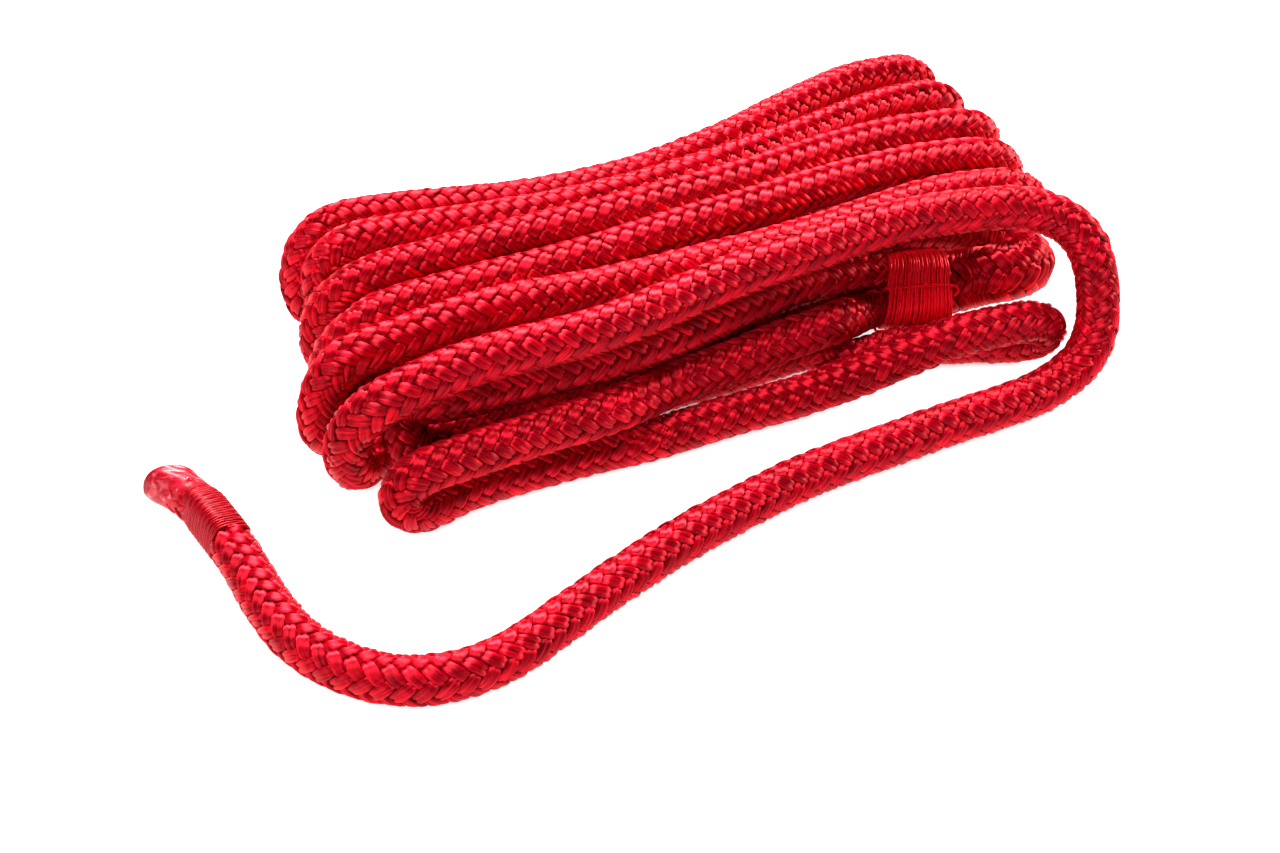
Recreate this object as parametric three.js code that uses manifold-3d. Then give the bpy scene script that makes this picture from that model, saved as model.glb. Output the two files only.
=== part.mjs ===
// Dock line, 12 mm double braid, with a spliced eye: wound into a flat hank, with the eye laid
// along its front and the free end led round in a loose curve.
// Millimetres, +Z up, resting on z = 0. X runs along the hank, -Y is the side of the eye.
import * as THREE from 'three';
import { mergeVertices } from 'three/addons/utils/BufferGeometryUtils.js';
import Module from 'manifold-3d';

const wasm = await Module();
wasm.setup();

// ---------------------------------------------------------------- driving dimensions
const ROPE_D = 12.0;          // nominal diameter of the line
const COVER_OUTER_R = 5.9;    // braided cover, outside, with the line lightly pressed by its neighbours
const COVER_INNER_R = 4.1;    // inside of the cover
const CORE_R = 3.75;          // braided core
const SPLICE_OUTER_R = 8.4;   // cover over the doubled core of the splice
const SPLICE_INNER_R = 6.5;
const BURIED_TAIL_R = 6.15;   // core with the tail of the cover buried in it
const GAP = 0.35;             // clearance between pieces that touch on the real line

const HANK_X0 = -94.1;        // left end of the turns
const HANK_X1 = 136.2;        // right end of the turns
const HANK_Y0 = -0.3;        // front of the turns
const HANK_Y1 = 80.7;        // back of the turns
const HANK_H = 43.5;          // height of the turns, two runs of line with the start of it between

const THROAT = new THREE.Vector3(81.2, -9.1, 16.2);      // middle of the throat whipping
const THROAT_AXIS = new THREE.Vector3(17, -5.2, -0.9).normalize();
const THROAT_TALL = new THREE.Vector3(0, 0.64, 0.77);       // from the lower leg of the eye to the upper
const THROAT_LENGTH = 16.4;
const THROAT_HEIGHT = 21.6;   // over both legs
const THROAT_WIDTH = 12.8;
const TWINE_D = 0.8;          // whipping twine

const END_WHIP_START = 32.6;  // distances from the far end of the shrink sleeve
const END_WHIP_END = 12.5;
const SLEEVE_START = 32.3;
const TIP_START = 7.6;
const TIP_END = 4.4;
const END_ROPE_R = 4.15;      // line squeezed under the end whipping
const END_WHIP_R = 4.95;
const SLEEVE_R = 5.75;
const SLEEVE_WALL = 0.5;

const SIDES = 10;

// ---------------------------------------------------------------- routes of the line
// Centreline points, in order along the line.
const SPLICE_ROUTE = [
  [80.6, -9.8, 16.2], [89.3, -11.7, 15.7], [95.2, -12.6, 15.4], [98.8, -14.1, 16.2],
  [102.9, -16.4, 17.4], [106.0, -17.5, 17.6], [108.9, -17.6, 17.5], [111.6, -16.7, 17.0],
  [114.1, -15.0, 16.3], [115.8, -12.7, 15.3], [116.7, -10.2, 14.5], [116.7, -7.7, 14.1],
  [115.9, -5.2, 14.1], [114.3, -2.5, 14.9], [111.4, 0.6, 16.9], [107.0, 3.5, 19.2],
  [102.5, 6.1, 20.4],
];

const EYE_ROUTE = [
  [76.1, -10.9, 14.2], [70.9, -9.8, 12.9], [66.0, -9.7, 12.7], [61.2, -10.4, 13.4],
  [55.5, -12.4, 15.4], [50.0, -14.4, 17.2], [45.8, -15.1, 17.6], [39.6, -14.7, 17.1],
  [30.3, -14.6, 16.7], [19.1, -15.0, 16.1], [8.5, -14.9, 15.7], [0.7, -15.2, 15.5],
  [-5.8, -16.6, 16.0], [-14.1, -19.1, 17.3], [-20.9, -20.1, 17.8], [-29.6, -20.0, 17.9],
  [-40.8, -19.4, 17.9], [-51.5, -19.4, 18.0], [-63.4, -19.6, 18.3], [-71.1, -19.6, 18.2],
  [-75.0, -19.5, 17.2], [-77.6, -19.4, 15.7], [-79.2, -19.5, 13.9], [-79.9, -19.7, 12.2],
  [-79.9, -20.1, 10.5], [-79.3, -20.4, 8.9], [-78.0, -20.5, 7.6], [-75.8, -20.4, 6.6],
  [-72.0, -19.9, 5.9], [-64.8, -18.8, 6.0], [-56.1, -18.4, 6.1], [-45.7, -18.8, 5.8],
  [-34.9, -19.5, 5.8], [-24.0, -21.0, 5.8], [-12.5, -22.6, 5.8], [-2.1, -23.6, 5.9],
  [9.4, -24.1, 6.0], [20.2, -24.9, 6.1], [30.0, -26.1, 6.4], [38.4, -27.5, 7.6],
  [47.4, -29.6, 10.0], [56.9, -31.6, 12.7], [67.4, -33.1, 15.3], [76.8, -34.6, 17.1],
  [86.0, -36.5, 17.9], [94.0, -37.9, 17.9], [99.1, -38.5, 17.0], [102.1, -38.7, 15.5],
  [103.9, -38.8, 14.0], [104.7, -38.6, 12.5], [104.9, -38.2, 10.9], [104.5, -37.5, 9.4],
  [103.3, -36.4, 8.0], [101.0, -34.7, 6.7], [97.3, -32.6, 5.9], [89.4, -28.8, 5.9],
  [80.0, -24.8, 6.0], [71.7, -21.9, 6.5], [65.5, -20.6, 6.8], [58.3, -20.2, 6.3],
  [54.1, -19.3, 6.0], [51.5, -17.8, 6.0], [49.5, -15.3, 6.1], [47.9, -12.3, 6.3],
  [46.1, -10.5, 6.4], [43.5, -9.5, 6.3], [37.8, -8.9, 6.0], [26.9, -8.5, 6.0], [15.2, -7.7, 6.0],
  [4.1, -7.0, 6.0], [-6.5, -7.0, 6.2], [-17.2, -7.3, 6.0], [-28.2, -7.4, 6.0], [-39.5, -7.0, 6.0],
  [-51.1, -6.3, 6.0], [-60.9, -6.3, 6.0], [-65.8, -6.5, 6.2], [-68.1, -6.5, 7.2],
  [-69.8, -6.2, 8.8], [-71.1, -5.3, 11.1], [-71.9, -3.5, 14.5], [-71.9, -1.5, 18.1],
  [-71.2, -0.4, 20.5], [-70.2, 0.0, 22.1], [-68.8, -0.1, 23.2], [-66.7, -0.9, 23.9],
  [-61.4, -3.1, 24.5], [-53.6, -5.4, 25.2], [-44.0, -7.2, 25.9], [-33.1, -8.6, 26.2],
  [-22.7, -9.5, 26.2], [-12.5, -9.6, 26.1], [-2.1, -9.1, 26.1], [8.2, -7.8, 26.0],
  [19.7, -6.1, 25.5], [30.9, -4.3, 24.8], [41.2, -2.6, 23.9], [49.8, -2.1, 23.3],
  [59.5, -2.4, 22.4], [68.5, -2.8, 21.0], [73.3, -3.9, 20.1], [78.4, -6.5, 18.6],
];

const TAIL_ROUTE = [
  [-79.3, 3.5, 6.1], [-82.7, 1.7, 6.5], [-84.7, 0.5, 7.6], [-86.1, -0.5, 9.5], [-87.2, -1.5, 12.7],
  [-87.6, -2.5, 17.3], [-86.8, -3.3, 21.8], [-85.0, -4.2, 25.6], [-82.0, -5.0, 29.0],
  [-77.8, -5.9, 31.9], [-71.6, -6.8, 34.2], [-63.2, -7.3, 36.1], [-53.3, -8.0, 37.5],
  [-43.4, -9.3, 38.3], [-32.4, -10.9, 38.5], [-22.1, -11.8, 38.7], [-12.2, -11.9, 38.9],
  [-1.6, -11.1, 39.2], [10.2, -9.9, 39.5], [20.8, -9.2, 39.9], [31.4, -9.3, 40.4],
  [42.5, -9.5, 40.9], [53.5, -9.3, 41.1], [64.8, -9.1, 41.0], [74.5, -9.5, 40.8],
  [83.9, -10.9, 40.6], [93.5, -13.3, 40.4], [102.3, -16.3, 40.3], [108.0, -19.1, 39.9],
  [112.8, -22.7, 38.8], [116.4, -26.5, 37.0], [118.5, -29.8, 34.8], [119.6, -33.2, 31.9],
  [119.5, -37.2, 27.8], [118.2, -41.9, 22.2], [115.9, -46.0, 17.1], [113.0, -49.0, 13.3],
  [109.5, -51.0, 10.4], [105.0, -52.3, 8.2], [99.2, -53.3, 6.7], [91.3, -54.3, 6.1],
  [82.4, -54.6, 6.0], [70.6, -54.2, 6.0], [58.6, -53.7, 6.0], [46.8, -53.6, 6.0],
  [34.7, -53.5, 6.0], [23.3, -53.6, 6.0], [12.8, -54.3, 6.0], [1.9, -55.8, 6.0],
  [-9.8, -57.6, 6.0], [-20.7, -59.6, 6.0], [-31.7, -62.2, 6.0], [-42.9, -65.2, 6.0],
  [-54.1, -68.6, 6.0], [-65.5, -72.2, 6.0], [-74.2, -74.4, 5.9], [-81.4, -75.0, 5.9],
  [-88.7, -74.4, 6.0], [-95.2, -72.6, 6.1], [-100.7, -69.8, 6.1], [-106.0, -65.5, 6.1],
  [-110.9, -59.9, 6.1], [-114.8, -53.5, 6.1], [-117.6, -46.5, 6.1], [-119.4, -38.5, 6.1],
  [-120.5, -28.2, 6.1], [-121.3, -16.9, 6.1], [-122.4, -6.8, 6.1], [-124.3, 2.8, 6.0],
  [-127.0, 11.8, 6.0], [-130.9, 21.4, 6.0],
];

// ---------------------------------------------------------------- geometry helpers

// A smooth path through route points. Its even steps are closer together where it bends,
// so that a tight fold keeps its roundness and a straight run takes few steps.
class LinePath extends THREE.Curve {
  constructor(points, from = 0, to = null, straightStep = 24, bendStep = 24) {
    super();
    this.base = new THREE.CatmullRomCurve3(points.map((p) => new THREE.Vector3(...p)), false, 'centripetal');
    const n = 2400;
    const samples = [];
    let length = 0;
    let last = null;
    for (let i = 0; i <= n; i++) {
      const t = i / n;
      const p = this.base.getPoint(t);
      if (last) length += p.distanceTo(last);
      last = p;
      samples.push({ t, s: length, p });
    }
    this.fullLength = length;
    const end = to === null ? length : to;
    this.table = [];
    let cost = 0;
    let prev = null;
    let dir = null;
    for (const q of samples) {
      if (q.s < from - 1e-9 || q.s > end + 1e-9) continue;
      if (prev) {
        const d = q.p.clone().sub(prev.p);
        const ds = d.length();
        if (ds > 1e-9) {
          d.multiplyScalar(1 / ds);
          if (dir) cost += Math.acos(Math.min(1, dir.dot(d))) * (180 / Math.PI) / bendStep;
          dir = d;
        }
        cost += ds / straightStep;
      }
      this.table.push({ t: q.t, c: cost });
      prev = q;
    }
    this.cost = cost;
  }
  steps() {
    return Math.max(2, Math.ceil(this.cost));
  }
  param(u) {
    const want = u * this.cost;
    const tb = this.table;
    let lo = 0;
    let hi = tb.length - 1;
    while (hi - lo > 1) {
      const mid = (lo + hi) >> 1;
      if (tb[mid].c <= want) lo = mid; else hi = mid;
    }
    const a = tb[lo];
    const b = tb[hi];
    const f = b.c > a.c ? (want - a.c) / (b.c - a.c) : 0;
    return a.t + (b.t - a.t) * Math.min(1, Math.max(0, f));
  }
  getPoint(u, target) {
    return this.base.getPoint(this.param(u), target);
  }
  getPointAt(u, target) {
    return this.getPoint(u, target);
  }
  getTangentAt(u, target) {
    return this.base.getTangent(this.param(u), target);
  }
  getLength() {
    return this.fullLength;
  }
}

function ringShape(outer, inner = 0, sides = SIDES) {
  const ring = (r) => Array.from({ length: sides }, (_, i) => {
    const a = (i / sides) * Math.PI * 2;
    return new THREE.Vector2(r * Math.cos(a), r * Math.sin(a));
  });
  const shape = new THREE.Shape(ring(outer));
  if (inner > 0) shape.holes.push(new THREE.Path(ring(inner).reverse()));
  return shape;
}

function tube(path, outer, inner = 0, sides = SIDES, steps = path.steps()) {
  return new THREE.ExtrudeGeometry(ringShape(outer, inner, sides), { steps, extrudePath: path, curveSegments: 1 });
}

function stadiumPoints(length, width, segments) {
  // a flat-sided outline with round ends, long side along x, centred
  const r = width / 2;
  const h = length / 2 - r;
  const pts = [];
  for (let i = 0; i <= segments; i++) {
    const a = -Math.PI / 2 + (i / segments) * Math.PI;
    pts.push(new THREE.Vector2(h + r * Math.cos(a), r * Math.sin(a)));
  }
  for (let i = 0; i <= segments; i++) {
    const a = Math.PI / 2 + (i / segments) * Math.PI;
    pts.push(new THREE.Vector2(-h + r * Math.cos(a), r * Math.sin(a)));
  }
  return pts;
}

function stadiumShape(length, width, segments, hole = null) {
  const shape = new THREE.Shape(stadiumPoints(length, width, segments));
  if (hole) shape.holes.push(new THREE.Path(stadiumPoints(hole[0], hole[1], segments).reverse()));
  return shape;
}

function toSolid(geometry) {
  const g = geometry.index ? geometry.toNonIndexed() : geometry.clone();
  g.deleteAttribute('normal');
  g.deleteAttribute('uv');
  const m = mergeVertices(g, 1e-4);
  return new wasm.Manifold(new wasm.Mesh({
    numProp: 3,
    vertProperties: new Float32Array(m.attributes.position.array),
    triVerts: new Uint32Array(m.index.array),
  }));
}

function toGeometry(solid) {
  const m = solid.getMesh();
  const g = new THREE.BufferGeometry();
  const pos = new Float32Array((m.vertProperties.length / m.numProp) * 3);
  for (let i = 0; i < pos.length / 3; i++) {
    for (let k = 0; k < 3; k++) pos[i * 3 + k] = m.vertProperties[i * m.numProp + k];
  }
  g.setAttribute('position', new THREE.BufferAttribute(pos, 3));
  g.setIndex(new THREE.BufferAttribute(new Uint32Array(m.triVerts), 1));
  g.computeVertexNormals();
  return g;
}

// ---------------------------------------------------------------- materials
const redBraid = () => new THREE.MeshStandardMaterial({ color: 0xd4102e, roughness: 0.45, metalness: 0 });
const coreBraid = () => new THREE.MeshStandardMaterial({ color: 0xf1efe9, roughness: 0.6, metalness: 0 });
const redTwine = () => new THREE.MeshStandardMaterial({ color: 0xc40f2a, roughness: 0.5, metalness: 0 });
const clearShrink = () => new THREE.MeshStandardMaterial({
  color: 0xf6f6f6, roughness: 0.08, metalness: 0, transparent: true, opacity: 0.35,
});
const meltedNylon = () => new THREE.MeshStandardMaterial({ color: 0xc8142c, roughness: 0.2, metalness: 0 });

const dockLine = new THREE.Group();
function add(name, geometry, material) {
  const mesh = new THREE.Mesh(geometry, material);
  mesh.name = name;
  dockLine.add(mesh);
  return mesh;
}

// ---------------------------------------------------------------- throat of the eye splice
const throatFrame = new THREE.Matrix4();
{
  const z = THROAT_AXIS.clone();
  const x = THROAT_TALL.clone().addScaledVector(z, -THROAT_TALL.dot(z)).normalize();
  const y = new THREE.Vector3().crossVectors(z, x);
  throatFrame.makeBasis(x, y, z);
  throatFrame.setPosition(THROAT);
}
function throatPiece(shape, length) {
  const g = new THREE.ExtrudeGeometry(shape, { depth: length, steps: 1, bevelEnabled: false, curveSegments: 1 });
  g.translate(0, 0, -length / 2);
  g.applyMatrix4(throatFrame);
  return g;
}
const innerTall = THROAT_HEIGHT - 2 * TWINE_D;
const innerWide = THROAT_WIDTH - 2 * TWINE_D;
add('throat_whipping',
  throatPiece(stadiumShape(THROAT_HEIGHT, THROAT_WIDTH, 8, [innerTall, innerWide]), THROAT_LENGTH),
  redTwine());
add('throat_legs',
  throatPiece(stadiumShape(innerTall - 2 * GAP, innerWide - 2 * GAP, 8), THROAT_LENGTH - 0.2),
  redBraid());

// ---------------------------------------------------------------- splice, from the throat into the hank
const nearThroat = THROAT_LENGTH / 2 + GAP;
function lengthAtPlane(points, test) {
  // length along the path where test(p) first becomes true
  const c = new LinePath(points);
  let s = 0;
  let last = null;
  for (let i = 0; i <= 4000; i++) {
    const p = c.base.getPoint(i / 4000);
    if (last) s += p.distanceTo(last);
    last = p;
    if (i > 0 && test(p)) return s;
  }
  return s;
}
const alongThroat = (p) => p.clone().sub(THROAT).dot(THROAT_AXIS);
const spliceFrom = lengthAtPlane(SPLICE_ROUTE, (p) => alongThroat(p) > nearThroat + 1.6);
const spliceTo = lengthAtPlane(SPLICE_ROUTE, (p) => p.y > HANK_Y0 + 1.5);
const splicePath = new LinePath(SPLICE_ROUTE, spliceFrom, spliceTo, 24, 24);
add('splice_cover', tube(splicePath, SPLICE_OUTER_R, SPLICE_INNER_R, 12), redBraid());
add('splice_buried_tail', tube(splicePath, BURIED_TAIL_R, 0, 10), coreBraid());

// ---------------------------------------------------------------- the eye
const eyeFrom = lengthAtPlane(EYE_ROUTE, (p) => alongThroat(p) < -nearThroat - 2.2);
const eyeWhole = new LinePath(EYE_ROUTE).fullLength;
const eyeTo = eyeWhole - lengthAtPlane([...EYE_ROUTE].reverse(), (p) => alongThroat(p) < -nearThroat - 2.2);
const eyePath = new LinePath(EYE_ROUTE, eyeFrom, eyeTo, 30, 30);
add('eye_cover', tube(eyePath, COVER_OUTER_R - 0.15, COVER_INNER_R, SIDES), redBraid());
add('eye_core', tube(eyePath, CORE_R, 0, 8), coreBraid());

// ---------------------------------------------------------------- the free end
const tailWhole = new LinePath(TAIL_ROUTE).fullLength;
const tailPath = new LinePath(TAIL_ROUTE, 0, tailWhole - END_WHIP_START - GAP, 30, 26);
add('tail_cover', tube(tailPath, COVER_OUTER_R, COVER_INNER_R, SIDES), redBraid());
add('tail_core', tube(tailPath, CORE_R, 0, 8), coreBraid());

const sub = (from, to) => new LinePath(TAIL_ROUTE, tailWhole - from, tailWhole - to, 10, 20);
const endRope = sub(END_WHIP_START - 0.2, TIP_START + GAP);
add('tail_end', tube(endRope, END_ROPE_R, 0, 12), redBraid());
add('end_whipping', tube(sub(END_WHIP_START - 0.2, END_WHIP_END), END_WHIP_R, END_ROPE_R + GAP, 16), redTwine());
add('end_sleeve', tube(sub(SLEEVE_START, 0), SLEEVE_R, SLEEVE_R - SLEEVE_WALL, 16), clearShrink());
add('sealed_tip', tube(sub(TIP_START, TIP_END), END_ROPE_R + 0.3, 0, 12), meltedNylon());

// ---------------------------------------------------------------- the wound turns
// One solid of their outer shape: a flat-sided outline with round ends, as deep as the turns
// lie side by side, relieved where the front turn and the splice lead out of it.
{
  const length = HANK_X1 - HANK_X0;
  const depth = HANK_Y1 - HANK_Y0;
  const g = new THREE.ExtrudeGeometry(stadiumShape(length, HANK_H, 10), {
    depth, steps: 1, bevelEnabled: false, curveSegments: 1,
  });
  g.rotateX(Math.PI / 2);
  g.translate((HANK_X0 + HANK_X1) / 2, HANK_Y1, HANK_H / 2);
  let solid = toSolid(g);
  const cuts = [
    tube(new LinePath(TAIL_ROUTE, 0, 260, 30, 26), COVER_OUTER_R + 0.6, 0, SIDES),
    tube(splicePath, SPLICE_OUTER_R + 0.6, 0, 12),
    throatPiece(stadiumShape(THROAT_HEIGHT + 0.9, THROAT_WIDTH + 0.9, 8), THROAT_LENGTH + 1),
    tube(eyePath, COVER_OUTER_R + 0.4, 0, SIDES),
  ];
  for (const c of cuts) solid = solid.subtract(toSolid(c));
  // the mouths of the two reliefs, opened a little past the ends of the tubes
  for (const [pts, s, r] of [[TAIL_ROUTE, 0, COVER_OUTER_R], [SPLICE_ROUTE, spliceTo, SPLICE_OUTER_R]]) {
    const c = new LinePath(pts, Math.max(0, s - 2), s + 2, 1, 20);
    const a = c.getPointAt(s === 0 ? 0 : 0.5);
    const dir = c.getTangentAt(s === 0 ? 0 : 0.5).multiplyScalar(s === 0 ? -1 : 1);
    const end = a.clone().addScaledVector(dir, GAP + 0.1);
    const line = new THREE.LineCurve3(a.clone().addScaledVector(dir, -0.8), end);
    solid = solid.subtract(toSolid(tube(line, r + 0.6, 0, 12, 1)));
  }
  add('hank_turns', toGeometry(solid), redBraid());
}

export default dockLine;
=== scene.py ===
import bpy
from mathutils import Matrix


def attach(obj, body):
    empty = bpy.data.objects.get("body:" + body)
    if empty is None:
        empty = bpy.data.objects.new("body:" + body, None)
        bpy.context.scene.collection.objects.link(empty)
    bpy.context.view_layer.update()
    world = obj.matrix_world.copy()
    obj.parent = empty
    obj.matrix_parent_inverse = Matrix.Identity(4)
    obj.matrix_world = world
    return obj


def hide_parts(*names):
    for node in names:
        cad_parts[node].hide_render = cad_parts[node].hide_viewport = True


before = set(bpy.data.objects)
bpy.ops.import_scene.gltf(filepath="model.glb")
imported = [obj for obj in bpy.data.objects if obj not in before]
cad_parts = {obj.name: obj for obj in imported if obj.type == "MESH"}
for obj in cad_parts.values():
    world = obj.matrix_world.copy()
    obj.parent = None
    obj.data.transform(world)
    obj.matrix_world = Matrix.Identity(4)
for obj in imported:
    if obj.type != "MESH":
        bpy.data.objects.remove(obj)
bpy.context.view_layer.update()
# Coiled dock line: 12 mm double braid wound into a flat hank, with a spliced eye laid along its
# front and a whipped, sleeved free end. Route points are in millimetres; everything made is in metres.
import math

import bpy
import numpy as np
from mathutils import Vector

MM = 0.001

# ------------------------------------------------------------------ camera, first
scene = bpy.context.scene
cam_data = bpy.data.cameras.new("camera")
cam_data.lens = 50
cam_data.sensor_width = 36
cam_data.clip_start, cam_data.clip_end = 0.01, 20
cam_data.dof.use_dof = False
cam = bpy.data.objects.new("camera", cam_data)
cam.location = (-0.17164, -0.33183, 0.324)
cam.rotation_euler = (math.radians(48), 0, math.radians(-27))
scene.collection.objects.link(cam)
scene.camera = cam

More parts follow.
